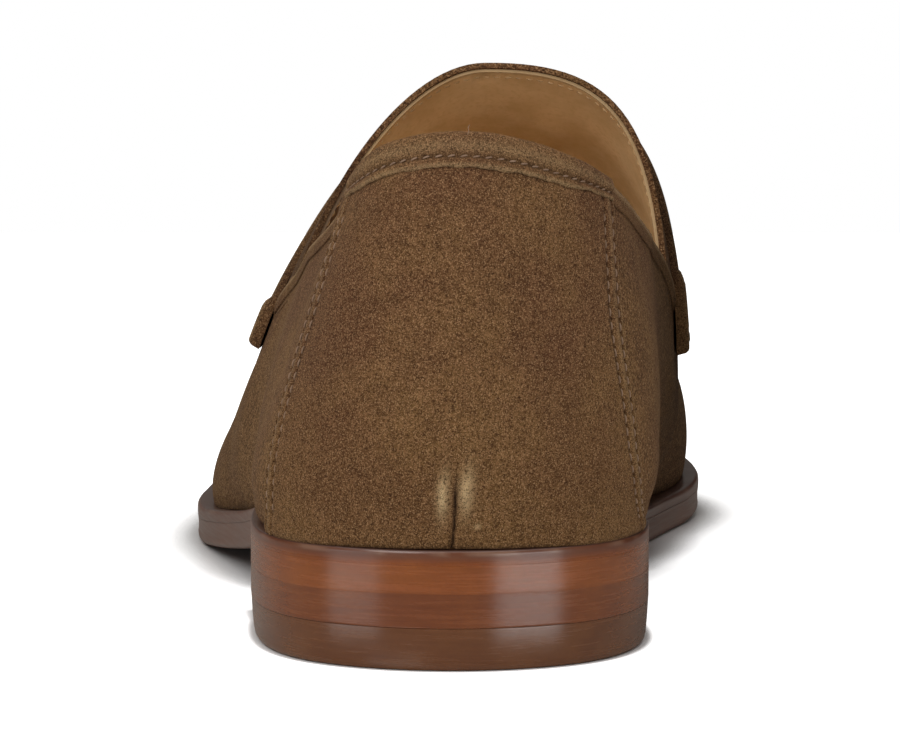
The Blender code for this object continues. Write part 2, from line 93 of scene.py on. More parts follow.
# y, bulge, bulge_height, rise, shoulder
SECTIONS = {
    LATERAL: [
        (2.0, 2.6, 20.0, 0.50, 0.75), (14.0, 2.0, 11.0, 0.26, 0.50), (38.0, 1.9, 7.0, 0.12, 0.35),
        (80.0, 1.4, 12.0, 0.22, 0.42), (105.0, 1.4, 9.0, 0.28, 0.49), (122.0, 2.4, 9.0, 0.30, 0.46),
        (146.0, 0.8, 6.0, 0.46, 0.27), (164.0, 0.5, 4.0, 0.28, 0.41), (180.0, 0.4, 3.0, 0.22, 0.44),
        (230.0, 0.6, 5.0, 0.42, 0.55), (296.0, 0.6, 5.0, 0.55, 0.62),
    ],
    MEDIAL: [
        (2.0, 2.6, 20.0, 0.50, 0.75), (38.0, 3.6, 11.0, 0.46, 0.46), (80.0, 9.2, 22.0, 0.50, 0.64),
        (118.0, 13.6, 25.0, 0.78, 0.71), (145.0, 12.6, 22.0, 0.84, 0.64), (180.0, 4.0, 14.0, 0.58, 0.58),
        (222.0, 1.0, 9.0, 0.50, 0.60), (296.0, 0.6, 5.0, 0.55, 0.62),
    ],
}


# %% Curves through the tables
def smooth_table(rows, column=1):
    """A smooth curve through one column of a table, with no overshoot between its rows."""
    x = np.array([row[0] for row in rows], float)
    y = np.array([row[column] for row in rows], float)
    width = np.diff(x)
    slope = np.diff(y) / width
    tangent = np.zeros_like(y)
    tangent[0], tangent[-1] = slope[0], slope[-1]
    for i in range(1, len(x) - 1):
        if slope[i - 1] * slope[i] > 0:
            before, after = 2 * width[i] + width[i - 1], width[i] + 2 * width[i - 1]
            tangent[i] = (before + after) / (before / slope[i - 1] + after / slope[i])

    def at(value):
        value = np.clip(value, x[0], x[-1])
        i = np.clip(np.searchsorted(x, value, side="right") - 1, 0, len(x) - 2)
        t = (value - x[i]) / width[i]
        ends = y[i] * (1 + 2 * t) * (1 - t) ** 2 + y[i + 1] * t * t * (3 - 2 * t)
        return ends + width[i] * t * (1 - t) * (tangent[i] * (1 - t) - tangent[i + 1] * t)

    return at


def closed_curve(points, per_span=240):
    """Points close together on a smooth closed curve through the given ones."""
    p = np.array(points, float)
    count = len(p)
    chord = np.linalg.norm(np.roll(p, -1, axis=0) - p, axis=1)
    matrix, right = np.zeros((count, count)), np.zeros_like(p)
    for i in range(count):
        before, after, following = chord[i - 1], chord[i], (i + 1) % count
        matrix[i, i - 1] += after
        matrix[i, i] += 2 * (before + after)
        matrix[i, following] += before
        right[i] = 3 * (after / before * (p[i] - p[i - 1]) + before / after * (p[following] - p[i]))
    tangent = np.linalg.solve(matrix, right)
    t = np.linspace(0, 1, per_span, endpoint=False)[:, None]
    spans = []
    for i in range(count):
        following = (i + 1) % count
        ends = p[i] * (1 + 2 * t) * (1 - t) ** 2 + p[following] * t * t * (3 - 2 * t)
        bend = tangent[i] * (1 - t) - tangent[following] * t
        spans.append(ends + chord[i] * t * (1 - t) * bend)
    return np.concatenate(spans)


def split_outline(loop):
    """The loop's two sides, each from the back of the heel to the tip of the toe."""
    loop = np.roll(loop, -int(np.argmin(loop[:, 1])), axis=0)
    tip = int(np.argmax(loop[:, 1]))
    return {LATERAL: loop[: tip + 1], MEDIAL: np.concatenate([loop[:1], loop[tip:][::-1]])}


FEATHER = split_outline(closed_curve(FEATHER_OUTLINE))
BACK_Y, TIP_Y = FEATHER[LATERAL][0, 1], FEATHER[LATERAL][-1, 1]
feather_height, sole_margin = smooth_table(FEATHER_HEIGHT), smooth_table(SOLE_MARGIN)
ridge_x, ridge_z = smooth_table(RIDGE, 1), smooth_table(RIDGE, 2)
collar_height = {LATERAL: smooth_table(COLLAR_HEIGHT, 1), MEDIAL: smooth_table(COLLAR_HEIGHT, 2)}
section_curve = {
    side: {name: smooth_table(rows, i + 1) for i, name in enumerate(SECTION_COLUMNS)}
    for side, rows in SECTIONS.items()
}
print("feather edge from y", round(BACK_Y, 2), "to", round(TIP_Y, 2))


# %% The last's surface
def feather_x(side, y):
    return np.interp(y, FEATHER[side][:, 1], FEATHER[side][:, 0])


def spine_y(y):
    """Where along the ridge a section ends: the sections fan out at heel and toe."""
    after_heel = 0.5 * (y + SPINE_HEEL_Y + np.hypot(y - SPINE_HEEL_Y, SPINE_ROUND))
    return 0.5 * (after_heel + SPINE_TOE_Y - np.hypot(after_heel - SPINE_TOE_Y, SPINE_ROUND))


def last_point(side, y, share):
    """y is the station on the feather edge; share runs from there (0) to the ridge (1)."""
    y, share = np.broadcast_arrays(np.asarray(y, float), np.asarray(share, float))
    top_y = spine_y(y)
    top_x, top_z = ridge_x(top_y), ridge_z(top_y)
    reach_x, reach_y = feather_x(side, y) - top_x, y - top_y
    reach = np.hypot(reach_x, reach_y)
    fall = (ridge_z(top_y + 1.0) - ridge_z(top_y - 1.0)) / 2.0 * reach_y / reach
    column = {name: curve(y) for name, curve in section_curve[side].items()}
    low_z = feather_height(y)
    wide, wide_z = reach + column["bulge"], low_z + column["bulge_height"]
    low = np.clip(share / BULGE_SHARE, 0, 1)
    low_r = reach + column["bulge"] * (1 - (1 - low) ** 2)
    t = np.clip((share - BULGE_SHARE) / (1 - BULGE_SHARE), 0, 1)
    handle_z, handle_r = wide_z + column["rise"] * (top_z - wide_z), column["shoulder"] * wide
    high_r = wide * (1 - t) ** 2 * (1 + 2 * t) + 3 * handle_r * (1 - t) * t * t
    high_z = wide_z * (1 - t) ** 3 + 3 * handle_z * (1 - t) ** 2 * t
    high_z = high_z + 3 * (top_z + fall * handle_r) * (1 - t) * t * t + top_z * t**3
    r = np.where(share < BULGE_SHARE, low_r, high_r)
    z = np.where(share < BULGE_SHARE, low_z + column["bulge_height"] * low, high_z)
    return np.stack([top_x + r * reach_x / reach, top_y + r * reach_y / reach, z], axis=-1)


def at_height(side, y, height):
    """The share at which the section from station y reaches a height above the floor."""
    shares = np.linspace(0, 1, 401)
    return float(np.interp(height, last_point(side, y, shares)[:, 2], shares))


def below(side, y, share, distances):
    """The shares that lie these distances down the section from another one."""
    shares = np.linspace(0, share, 301)
    steps = np.linalg.norm(np.diff(last_point(side, y, shares), axis=0), axis=1)
    walked = np.concatenate([[0], np.cumsum(steps)])
    return np.interp(walked[-1] - np.asarray(distances), walked, shares)


COLLAR_FALL = 0.40


def collar_share(side, y):
    """The share of the collar's edge; past its table the line falls on, under the strap."""
    beyond = max(0.0, float(y) - COLLAR_HEIGHT[-1][0])
    return at_height(side, y, collar_height[side](y) - COLLAR_FALL * beyond)


# %% [markdown]
# ## Sole edges and the place of the last
# The sole's edge runs round the feather edge at a small distance. The solids sit with their box centred
# on the origin, so the welt's solid tells how far the last has to move to lie in the same place.

# %% Loops round the sole, and the move from the last to the frame
def feather_normal(side, y):
    """The direction out of the feather edge, in plan."""
    tangent = np.gradient(FEATHER[side], axis=0)
    tangent[[0, -1]] = (side, 0.0), (-side, 0.0)
    normal = np.stack([tangent[:, 1], -tangent[:, 0]], axis=1) * side
    normal /= np.linalg.norm(normal, axis=1, keepdims=True)
    return np.stack([np.interp(y, FEATHER[side][:, 1], normal[:, k]) for k in (0, 1)], axis=1)


def sole_loop(stations, away, drop, from_sole_edge=True):
    """A closed row of points round the sole, moved out from its edge or from the feather edge."""
    sides = {}
    for side in (LATERAL, MEDIAL):
        reach = away + (sole_margin(stations) if from_sole_edge else np.zeros_like(stations))
        plan = np.stack([feather_x(side, stations), stations], axis=1)
        plan += feather_normal(side, stations) * reach[:, None]
        sides[side] = np.column_stack([plan, feather_height(plan[:, 1]) - drop])
    whole = stations[-1] == TIP_Y
    return np.concatenate([sides[LATERAL], sides[MEDIAL][-2 if whole else None : 0 : -1]])


def end_spacing(count, end=math.pi):
    """Shares from 0 to 1 that crowd together at a round end, or at both."""
    return (1 - np.cos(np.linspace(0, end, count + 1))) / (1 - math.cos(end))


WELT_OUTSIDE = 0.1
SOLE_STATIONS = BACK_Y + (TIP_Y - BACK_Y) * end_spacing(150)
rim = sole_loop(SOLE_STATIONS, WELT_OUTSIDE, 0.0)[:, :2]
welt_low, welt_high = (np.array(corner[:2]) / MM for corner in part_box("welt"))
MOVE = np.append((welt_low + welt_high) / 2 - (rim.min(axis=0) + rim.max(axis=0)) / 2, 0.0)
print("the last moves by", MOVE.round(2), "mm")

# %% [markdown]
# ## Materials
# Each finish is built from noise at real sizes, so that it holds in every view. Colours are sRGB values
# turned to linear by one function, and one small function adds each node.

# %% Helpers for materials
def hue(code):
    """sRGB hex to linear colour."""
    parts = [int(code[i : i + 2], 16) / 255 for i in (1, 3, 5)]
    return [c / 12.92 if c <= 0.04045 else ((c + 0.055) / 1.055) ** 2.4 for c in parts] + [1.0]


def per_mm(size):
    """Texture scale for features of a size in millimetres, as coordinates are in metres."""
    return 1.0 / (size * MM)


def add(tree, kind, settings=None, inputs=None):
    """A node with its settings, and its inputs as values or as links from other nodes' outputs."""
    made = tree.nodes.new(kind)
    for name, value in (settings or {}).items():
        setattr(made, name, value)
    for name, value in (inputs or {}).items():
        if isinstance(value, bpy.types.NodeSocket):
            tree.links.new(value, made.inputs[name])
        else:
            made.inputs[name].default_value = value
    return made


# masks painted on the pieces, sockets of a Map Range node, and the colour sockets of a Mix node
MASKS = ("rub", "shade")
RANGE_ENDS = ("From Min", "From Max", "To Min", "To Max")
MIX_UNDER, MIX_OVER, MIX_RESULT = 6, 7, 2


def start_material(name, looks):
    """A material with its even looks set, its tree, its shader and the object's coordinates, in metres."""
    made = bpy.data.materials.new(name)
    made.use_nodes = True
    tree = made.node_tree
    shader = tree.nodes["Principled BSDF"]
    for socket, value in looks.items():
        shader.inputs[socket].default_value = value
    place = add(tree, "ShaderNodeTexCoord").outputs["Object"]
    return made, tree, shader, place


def lay_colours(tree, colour, layers, patterns, easing):
    """Colours laid over the first one, each as strongly as its pattern says. Masks count as they are."""
    for pattern, span, shares, code in layers:
        share = patterns[pattern]
        if span:
            inputs = {"Value": share, **dict(zip(RANGE_ENDS, span + shares))}
            share = add(tree, "ShaderNodeMapRange", {"interpolation_type": easing}, inputs).outputs[0]
        inputs = {"Factor": share, MIX_UNDER: colour, MIX_OVER: hue(code)}
        colour = add(tree, "ShaderNodeMix", {"data_type": "RGBA"}, inputs).outputs[MIX_RESULT]
    return colour


# %% [markdown]
# ## Suede
# Calf split, dyed brown and brushed. The short nap scatters light, so it has almost no gloss, a faint
# bright rim, and a salt-and-pepper look where fibres lie different ways. Wide clouds come from brushing.
# Two masks are painted on the pieces. One marks where the nap is worn pale; on the binding's top edge it is
# also a painted highlight.
# The other is painted shade in slits, seams, stitch holes, folds and along the feet of pieces.

# %% The suede
# Sizes in mm of the clouds from brushing, the dye's mottling, the tufts, the nap and the ends of its fibres.
# Real nap is nearer 0.2 mm and its fibres finer still; both are drawn coarser, so that they show.
CLOUD_MM, MOTTLE_MM, TUFT_MM, NAP_MM, FIBRE_MM = 24.0, 5.0, 1.3, 0.42, 0.20
FINE_MM, BRUSH_MM, NAP_DEPTH_MM = 1.0, (1.6, 9.0), 0.22
# size: detail and roughness of its noise
SUEDE_NOISE = {
    CLOUD_MM: (3, 0.55), MOTTLE_MM: (4, 0.6), TUFT_MM: (2, 0.6), NAP_MM: (2, 0.65), FIBRE_MM: (1, 0.5),
}
SUEDE_BASE, SUEDE_HANDLED = "#553722", "#8d7150"
# pattern, span of its values, how much of the colour shows at both ends of the span, colour
SUEDE_LAYERS = [
    (CLOUD_MM, (0.36, 0.64), (0.0, 1.0), "#6b4e2e"),
    (MOTTLE_MM, (0.42, 0.70), (0.0, 0.50), "#482e1a"),
    ("brush", (0.42, 0.75), (0.0, 0.30), "#745337"),
    ("height", (0.018, 0.050), (0.40, 0.0), "#634826"),
    # pale worn nap; on the binding's top edge it is also a painted highlight
    ("rub", None, None, "#c2a87d"),
    (TUFT_MM, (0.48, 0.70), (0.0, 0.32), "#3f2814"),
    (TUFT_MM, (0.30, 0.50), (0.24, 0.0), "#7f5d3e"),
    (NAP_MM, (0.48, 0.68), (0.0, 0.74), "#331f0e"),
    (NAP_MM, (0.30, 0.50), (0.40, 0.0), "#886546"),
    (FIBRE_MM, (0.28, 0.46), (0.85, 0.0), "#2b190d"),
    (FIBRE_MM, (0.54, 0.72), (0.0, 0.75), "#a17e5a"),
    # painted shade
    ("shade", None, None, "#24170e"),
]
# Nearly no gloss, and a faint bright rim from the fibres' tips
SUEDE_LOOKS = {
    "Roughness": 0.95, "Specular IOR Level": 0.15,
    "Sheen Weight": 0.03, "Sheen Roughness": 0.45, "Sheen Tint": hue("#d9bd92"),
}


def suede(name, lift=0.0, coarse=1.0):
    """Brown suede; lift makes the nap paler, as on handled edges, and coarse makes it larger."""
    made, tree, shader, place = start_material(name, SUEDE_LOOKS)
    patterns = {}
    for mask in MASKS:
        patterns[mask] = add(tree, "ShaderNodeAttribute", {"attribute_name": mask}).outputs["Fac"]
    for size, (detail, rough) in SUEDE_NOISE.items():
        scale = per_mm(size * coarse if size < FINE_MM else size)
        inputs = {"Vector": place, "Scale": scale, "Detail": detail, "Roughness": rough}
        patterns[size] = add(tree, "ShaderNodeTexNoise", None, inputs).outputs["Fac"]
    stretch = (per_mm(BRUSH_MM[0]), per_mm(BRUSH_MM[0]), per_mm(BRUSH_MM[1]))
    strokes = add(tree, "ShaderNodeMapping", None, {"Vector": place, "Scale": stretch}).outputs[0]
    inputs = {"Vector": strokes, "Scale": 1.0, "Detail": 3}
    patterns["brush"] = add(tree, "ShaderNodeTexNoise", None, inputs).outputs["Fac"]
    patterns["height"] = add(tree, "ShaderNodeSeparateXYZ", None, {0: place}).outputs["Z"]
    patterns["handled"] = lift
    layers = SUEDE_LAYERS + ([("handled", None, None, SUEDE_HANDLED)] if lift else [])
    colour = lay_colours(tree, hue(SUEDE_BASE), layers, patterns, "SMOOTHSTEP")
    tree.links.new(colour, shader.inputs["Base Color"])
    fibres = {0: patterns[NAP_MM], 1: patterns[FIBRE_MM]}
    pile = add(tree, "ShaderNodeMath", {"operation": "ADD"}, fibres).outputs[0]
    bump = {"Height": pile, "Strength": 0.55, "Distance": NAP_DEPTH_MM * MM}
    tree.links.new(add(tree, "ShaderNodeBump", None, bump).outputs[0], shader.inputs["Normal"])
    return made


# The quarters are mostly seen at a slant, so their nap is drawn coarser still.
SUEDE = suede("brushed_calf_suede")
QUARTER_SUEDE = suede("brushed_calf_suede_quarters", coarse=1.6)
BINDING_SUEDE = suede("folded_suede_strip", lift=0.05)
print("suede nap drawn at", NAP_MM, "mm, coarser than the real 0.2 mm so that it shows")

# %% [markdown]
# ## Smooth leathers
# The lining is undyed tan calf: matt, with a fine pebble and faint rubbed marks. The heel is a stack of
# leather boards, sanded, stained and burnished, so thin layers show as level streaks under a soft wax
# gloss. The sole's edge and the rim are inked darker, and the same dark colour is painted shade on the
# lining and on the rim's top face. The rim's pale arris is nicks with painted glints. One function makes
# them all from their own colours.

# %% The leathers' recipe
# The pale colour is the rim's nicks and painted glints. The dark colour is ink on the sole and rim, and
# painted shade on the lining and the rim's top face; it dulls the wax.
PATCH_MM, WAX_ROUGHNESS, INK_AND_SHADE_DULL = 9.0, 0.20, 0.28
RUBBED_AND_GLINT_LEATHER, INK_AND_SHADE_LEATHER = "#c9a68a", "#3f2a24"


def leather(name, tones, streak, grain, rough, gloss, depth, wax):
    """Leather with level streaks (length, height in mm) and a grain (size in mm) over three tones."""
    looks = {"Specular IOR Level": gloss, "Coat Weight": wax, "Coat Roughness": WAX_ROUGHNESS}
    made, tree, shader, place = start_material(name, looks)
    patterns = {}
    for mask in MASKS:
        patterns[mask] = add(tree, "ShaderNodeAttribute", {"attribute_name": mask}).outputs["Fac"]
    stretch = (per_mm(streak[0]), per_mm(streak[0]), per_mm(streak[1]))
    level = add(tree, "ShaderNodeMapping", None, {"Vector": place, "Scale": stretch}).outputs[0]
    noise = {
        "streaks": {"Vector": level, "Scale": 1.0, "Detail": 4, "Roughness": 0.62},
        "patches": {"Vector": place, "Scale": per_mm(PATCH_MM), "Detail": 3},
        "pebble": {"Vector": place, "Scale": per_mm(grain), "Detail": 3},
    }
    for pattern, inputs in noise.items():
        patterns[pattern] = add(tree, "ShaderNodeTexNoise", None, inputs).outputs["Fac"]
    dark, middle, light = tones
    layers = [
        ("streaks", (0.32, 0.68), (0.0, 1.0), middle),
        ("patches", (0.45, 0.75), (0.0, 0.6), light),
        ("pebble", (0.50, 0.66), (0.0, 0.35), dark),
        ("rub", None, None, RUBBED_AND_GLINT_LEATHER),
        # ink on the sole and rim; painted shade on the lining and the rim's top face
        ("shade", None, None, INK_AND_SHADE_LEATHER),
    ]
    colour = lay_colours(tree, hue(dark), layers, patterns, "LINEAR")
    tree.links.new(colour, shader.inputs["Base Color"])
    inputs = dict(zip(RANGE_ENDS, (0.3, 0.7, rough - 0.05, rough + 0.07)), Value=patterns["streaks"])
    polish = add(tree, "ShaderNodeMapRange", None, inputs).outputs[0]
    inputs = {0: patterns["shade"], 1: INK_AND_SHADE_DULL, 2: polish}
    dull = add(tree, "ShaderNodeMath", {"operation": "MULTIPLY_ADD"}, inputs).outputs[0]
    tree.links.new(dull, shader.inputs["Roughness"])
    inputs = {0: patterns["pebble"], 1: patterns["streaks"]}
    relief = add(tree, "ShaderNodeMath", {"operation": "ADD"}, inputs).outputs[0]
    bump = {"Height": relief, "Strength": 0.35, "Distance": depth * MM}
    tree.links.new(add(tree, "ShaderNodeBump", None, bump).outputs[0], shader.inputs["Normal"])
    return made


# %% Lining, sock, stacked heel, sole edge, rim and top piece
# finish: three tones, streak, grain, roughness, gloss, depth of its relief in mm, wax
LEATHERS = {
    # Undyed calf, drummed soft: warm and matt, with a fine pebble
    "tan_calf_lining": (("#d0aa76", "#ecc894", "#f3d4a4"), (14.0, 9.0), 0.9, 0.62, 0.25, 0.10, 0.0),
    # The same calf, darker under the foot
    "tan_sock_leather": (("#bd935f", "#cca36f", "#d6b07e"), (16.0, 9.0), 0.9, 0.6, 0.3, 0.10, 0.0),
    # Pressed boards, sanded, stained red-brown and waxed: level streaks under a soft mirror
    "burnished_stacked_leather": (("#623012", "#743c17", "#7d451b"), (13.0, 0.6), 0.5, 0.25, 0.50, 0.02, 0.6),
    # One board of the same, a little lighter
    "burnished_sole_leather": (("#6f380f", "#844419", "#8c4d1d"), (15.0, 0.6), 0.5, 0.25, 0.50, 0.02, 0.6),
    # A narrow strip, inked along its top
    "inked_welt_leather": (("#69330f", "#7c3e16", "#86491c"), (15.0, 0.6), 0.5, 0.24, 0.40, 0.02, 0.6),
    # The lowest board, inked browner and duller
    "inked_top_piece": (("#593116", "#653a1b", "#6d4321"), (11.0, 0.6), 0.5, 0.24, 0.50, 0.02, 0.6),
}
LINING, SOCK, STACK, SOLE, WELT, TOP_PIECE = (leather(name, *recipe) for name, recipe in LEATHERS.items())
print(len(LEATHERS), "leathers")

# %% [markdown]
# ## Thread
# Tonal polyester, twisted and slightly paler than the suede. It is too thin for its twist to show, so
# only its colour varies along the seam.

# %% The thread
TWIST_MM = 1.3


def thread(name, dark, light):
    """Sewing thread between two tones, which change every millimetre or so."""
    made, tree, shader, place = start_material(name, {"Roughness": 0.6, "Specular IOR Level": 0.3})
    inputs = {"Vector": place, "Scale": per_mm(TWIST_MM), "Detail": 2}
    twist = add(tree, "ShaderNodeTexNoise", None, inputs).outputs["Fac"]
    inputs = {"Factor": twist, MIX_UNDER: hue(dark), MIX_OVER: hue(light)}
    colour = add(tree, "ShaderNodeMix", {"data_type": "RGBA"}, inputs).outputs[MIX_RESULT]
    tree.links.new(colour, shader.inputs["Base Color"])
    return made


THREAD = thread("brown_polyester_thread", "#644935", "#9e836b")
PALE_THREAD = thread("tan_polyester_thread", "#b08a5c", "#d8b98c")
print("threads:", THREAD.name, PALE_THREAD.name)

# %% [markdown]
# ## Making a piece
# A piece is a mesh from arrays of points and faces, smooth shaded. It rides on the shoe's only body,
# stands for the solids it covers, and takes the finish it is given.

# %% Helpers for meshes
def grid_faces(rows, columns, first=0):
    """Quads of a grid whose outside is along the rows crossed with along the columns."""
    i, j = np.meshgrid(np.arange(rows - 1), np.arange(columns - 1), indexing="ij")
    a = (first + i * columns + j).ravel()
    return np.stack([a, a + columns, a + columns + 1, a + 1], axis=1)


def grid_normals(grid):
    """The direction out of each point of a grid."""
    normal = np.cross(np.gradient(grid, axis=0), np.gradient(grid, axis=1))
    return normal / np.linalg.norm(normal, axis=-1, keepdims=True)


def make_piece(name, points, faces, finish, nodes=(), masks=None, crisp=50.0):
    """One piece from points in millimetres on the last, with its masks painted on the points."""
    mesh = bpy.data.meshes.new(name)
    mesh.from_pydata(((np.asarray(points) + MOVE) * MM).tolist(), [], [list(map(int, f)) for f in faces])
    for mask, values in (masks or {}).items():
        layer = mesh.attributes.new(mask, "FLOAT", "POINT")
        layer.data.foreach_set("value", np.asarray(values, np.float32).ravel())
    mesh.shade_smooth()
    mesh.set_sharp_from_angle(angle=math.radians(crisp))
    mesh.materials.append(finish)
    piece = bpy.data.objects.new(name, mesh)
    bpy.context.scene.collection.objects.link(piece)
    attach(piece, "root")
    if nodes:
        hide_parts(*nodes)
    print(name, len(mesh.vertices), "points,", len(mesh.polygons), "faces")
    return piece


def smooth_step(value, low, high):
    """0 below the low value, 1 above the high one, and a soft climb between them."""
    t = np.clip((value - low) / (high - low), 0, 1)
    return t * t * (3 - 2 * t)


def between(value, rise_from, rise_to, fall_from, fall_to):
    """1 inside a stretch and 0 outside it, with soft ends."""
    return smooth_step(value, rise_from, rise_to) * (1 - smooth_step(value, fall_from, fall_to))


def hump(value, centre, width):
    """1 at the centre, falling off softly on both sides."""
    return np.exp(-(((value - centre) / width) ** 2))


# %% [markdown]
# ## The upper and its lining
# Quarters, vamp and tongue are one sheet of suede about 1 mm thick with a leather lining glued behind it.
# A grid over the last gives the outer face. Solidify adds the thickness and Bevel rounds the cut edge,
# which is simpler than modelling both faces and follows any later change of the grid.

# %% Rows of the upper's grid
NOTCH_Y, THROAT_Y = 110.0, 119.0
UPRIGHT_Y, NOTCH_FOOT_Y, THROAT_FOOT_Y = 70.0, 102.0, 150.0
COLLAR_ROWS, TONGUE_ROWS, RIDGE_ROWS, STEPS = 52, 26, 84, 54


def upper_rows(set_back=0.0):
    """Foot y, top y and share of the way up the tongue's edge for each row on one side."""
    throat_y = THROAT_Y + set_back
    rows = []
    for y in BACK_Y + (NOTCH_Y - BACK_Y) * end_spacing(COLLAR_ROWS, math.pi / 2):
        lean = max(0.0, (y - UPRIGHT_Y) / (NOTCH_Y - UPRIGHT_Y))
        rows.append((y - lean * (NOTCH_Y - NOTCH_FOOT_Y), y, 0.0))
    for i in range(1, TONGUE_ROWS + 1):
        t = i / TONGUE_ROWS
        foot = NOTCH_FOOT_Y + (THROAT_FOOT_Y - NOTCH_FOOT_Y) * t
        rows.append((foot, NOTCH_Y + (throat_y - NOTCH_Y) * math.sin(math.pi / 2 * t), t))
    for i in range(1, RIDGE_ROWS + 1):
        t = math.sin(math.pi / 2 * i / RIDGE_ROWS)
        top = throat_y + (TIP_Y - throat_y) * t
        rows.append((top + (THROAT_FOOT_Y - throat_y) * (1 - t) ** 2, top, 1.0))
    return rows


# %% The upper's sheet, sewn together along heel, ridge and toe
def upper_sheet(edge_drop):
    """Points, their (side, y, share, way up) on the last, and faces. The free edge drops by edge_drop."""
    rows = upper_rows(edge_drop)
    t = np.linspace(0, 1, STEPS + 1)
    points, spots, index, faces = [], [], {}, []
    for side in (LATERAL, MEDIAL):
        for i, (foot, top, tongue) in enumerate(rows):
            edge = collar_share(side, min(top, NOTCH_Y))
            high = edge + (1 - edge) * tongue
            if tongue < 1 and edge_drop:
                high = float(below(side, top, high, edge_drop))
            y, share = foot + (top - foot) * t, high * t
            line = last_point(side, y, share)
            for j in range(STEPS + 1):
                shared = i in (0, len(rows) - 1) or (j == STEPS and tongue == 1.0)
                key = (0 if shared else side, i, j)
                if key not in index:
                    index[key] = len(points)
                    points.append(line[j])
                    spots.append((side, y[j], share[j], t[j]))
        for i in range(len(rows) - 1):
            for j in range(STEPS):
                corners = [(i, j), (i + 1, j), (i + 1, j + 1), (i, j + 1)]
                face = [index.get((side, *c), index.get((0, *c))) for c in corners]
                faces.append(face[::-1] if side == LATERAL else face)
    return np.array(points), np.array(spots), np.array(faces)


def sheet_normals(points, faces):
    """The direction out of each point of any mesh of quads."""
    out = np.cross(points[faces[:, 2]] - points[faces[:, 0]], points[faces[:, 3]] - points[faces[:, 1]])
    normal = np.zeros_like(points)
    for k in range(4):
        np.add.at(normal, faces[:, k], out)
    return normal / np.linalg.norm(normal, axis=1, keepdims=True)


def thicken(piece, thickness, edge_round):
    """A wall inwards from the sheet, with rounded cut edges."""
    wall = piece.modifiers.new("wall", "SOLIDIFY")
    wall.thickness, wall.offset, wall.use_even_offset = thickness * MM, -1.0, True
    cut = piece.modifiers.new("cut_edge", "BEVEL")
    cut.width, cut.segments, cut.limit_method, cut.angle_limit = edge_round * MM, 3, "ANGLE", math.radians(55)


# %% [markdown]
# The vamp is hidden in the photograph. A loafer usually has an apron seam round it, so a low ridge with a
# groove below it follows the vamp at an even share of the way up; it is a guess, kept shallow. The rest of
# the suede gets a very soft unevenness, as it is not stretched hard over the last, and it swells a little
# where it meets the rim. The lining is the same sheet set back by the suede's thickness.

# %% The suede upper
APRON_SHARE, APRON_START_Y, APRON_RISE, APRON_WIDTH, APRON_RUB = 0.60, 164.0, 0.7, 0.020, 0.25
GROOVE_DEPTH, GROOVE_SHARE, GROOVE_WIDTH = 0.35, APRON_SHARE - 0.045, 0.016
SUEDE_THICK, SUEDE_EDGE_ROUND, SLACK_RISE = 1.05, 0.35, 0.22
RIM_SWELL, RIM_SWELL_Z, RIM_SWELL_WIDTH = 0.6, 20.8, 1.7
FOOT_SHADE, STRAP_SHADE = 0.35, 0.45
points, spots, faces = upper_sheet(0.0)
out = sheet_normals(points, faces)
side, station, share, way_up = spots.T
x, y, z = points.T
apron = smooth_step(station, APRON_START_Y - 6, APRON_START_Y + 10)
ridge = apron * hump(share, APRON_SHARE, APRON_WIDTH)
relief = APRON_RISE * ridge - GROOVE_DEPTH * apron * hump(share, GROOVE_SHARE, GROOVE_WIDTH)
slack = SLACK_RISE * (1 - smooth_step(way_up, 0.80, 0.94))
relief += slack * np.sin(y / 7.3 + z / 9.1) * np.sin(z / 6.7 - x / 12.0)
relief += RIM_SWELL * between(station, 30.0, 36.0, 55.0, 80.0) * hump(z, RIM_SWELL_Z, RIM_SWELL_WIDTH)
# Painted shade along the foot of the suede where it meets the rim, and on the lateral side beside the strap,
# near the collar.
foot_shade = FOOT_SHADE * (1 - smooth_step(share, 0.0, 0.03))
painted_strap_shade = (side == LATERAL) * between(station, 106.0, 112.0, 126.0, 130.0)
painted_strap_shade = STRAP_SHADE * painted_strap_shade * between(z, 50.0, 58.0, 74.0, 82.0)
masks = {"rub": APRON_RUB * ridge, "shade": np.maximum(foot_shade, painted_strap_shade)}
sheet = points + relief[:, None] * out
upper = make_piece("suede_upper", sheet, faces, QUARTER_SUEDE, ["upper"], masks, crisp=70)
thicken(upper, SUEDE_THICK, SUEDE_EDGE_ROUND)

# %% The lining
LINING_THICK, LINING_EDGE_ROUND, LINING_SET_BACK, LINING_GAP = 0.6, 0.25, 0.45, 0.03
FOLD_SHADE, FREE_EDGE_SHADE = 0.85, 0.45
points, spots, faces = upper_sheet(LINING_SET_BACK)
lining_points = points - (SUEDE_THICK + LINING_GAP) * sheet_normals(points, faces)
side, station, way_up = spots.T[[0, 1, 3]]
# Painted shade: the lining darkened in the lateral fold by the notch and along its free edge.
in_fold = (side == LATERAL) & (station > NOTCH_Y - 4.0)
fold_shade = FOLD_SHADE * in_fold * (1 - smooth_step(points[:, 2], 74.0, 82.0))
free_edge = (station < THROAT_Y + 2.0) * smooth_step(way_up, 0.965, 1.0)
masks = {"shade": np.maximum(fold_shade, FREE_EDGE_SHADE * free_edge)}
lining = make_piece("leather_lining", lining_points, faces, LINING, masks=masks, crisp=70)
thicken(lining, LINING_THICK, LINING_EDGE_ROUND)

# %% [markdown]
# ## Sewn-on pieces
# The heel panel and the strap are separate cuts of suede laid over the upper. Each is a closed sheet: an
# underside on the upper and an outside that rounds down to it at the cut edges. The distance to the
# nearest edge gives the rounding and the stitch lines, so they follow the real outline of the piece.

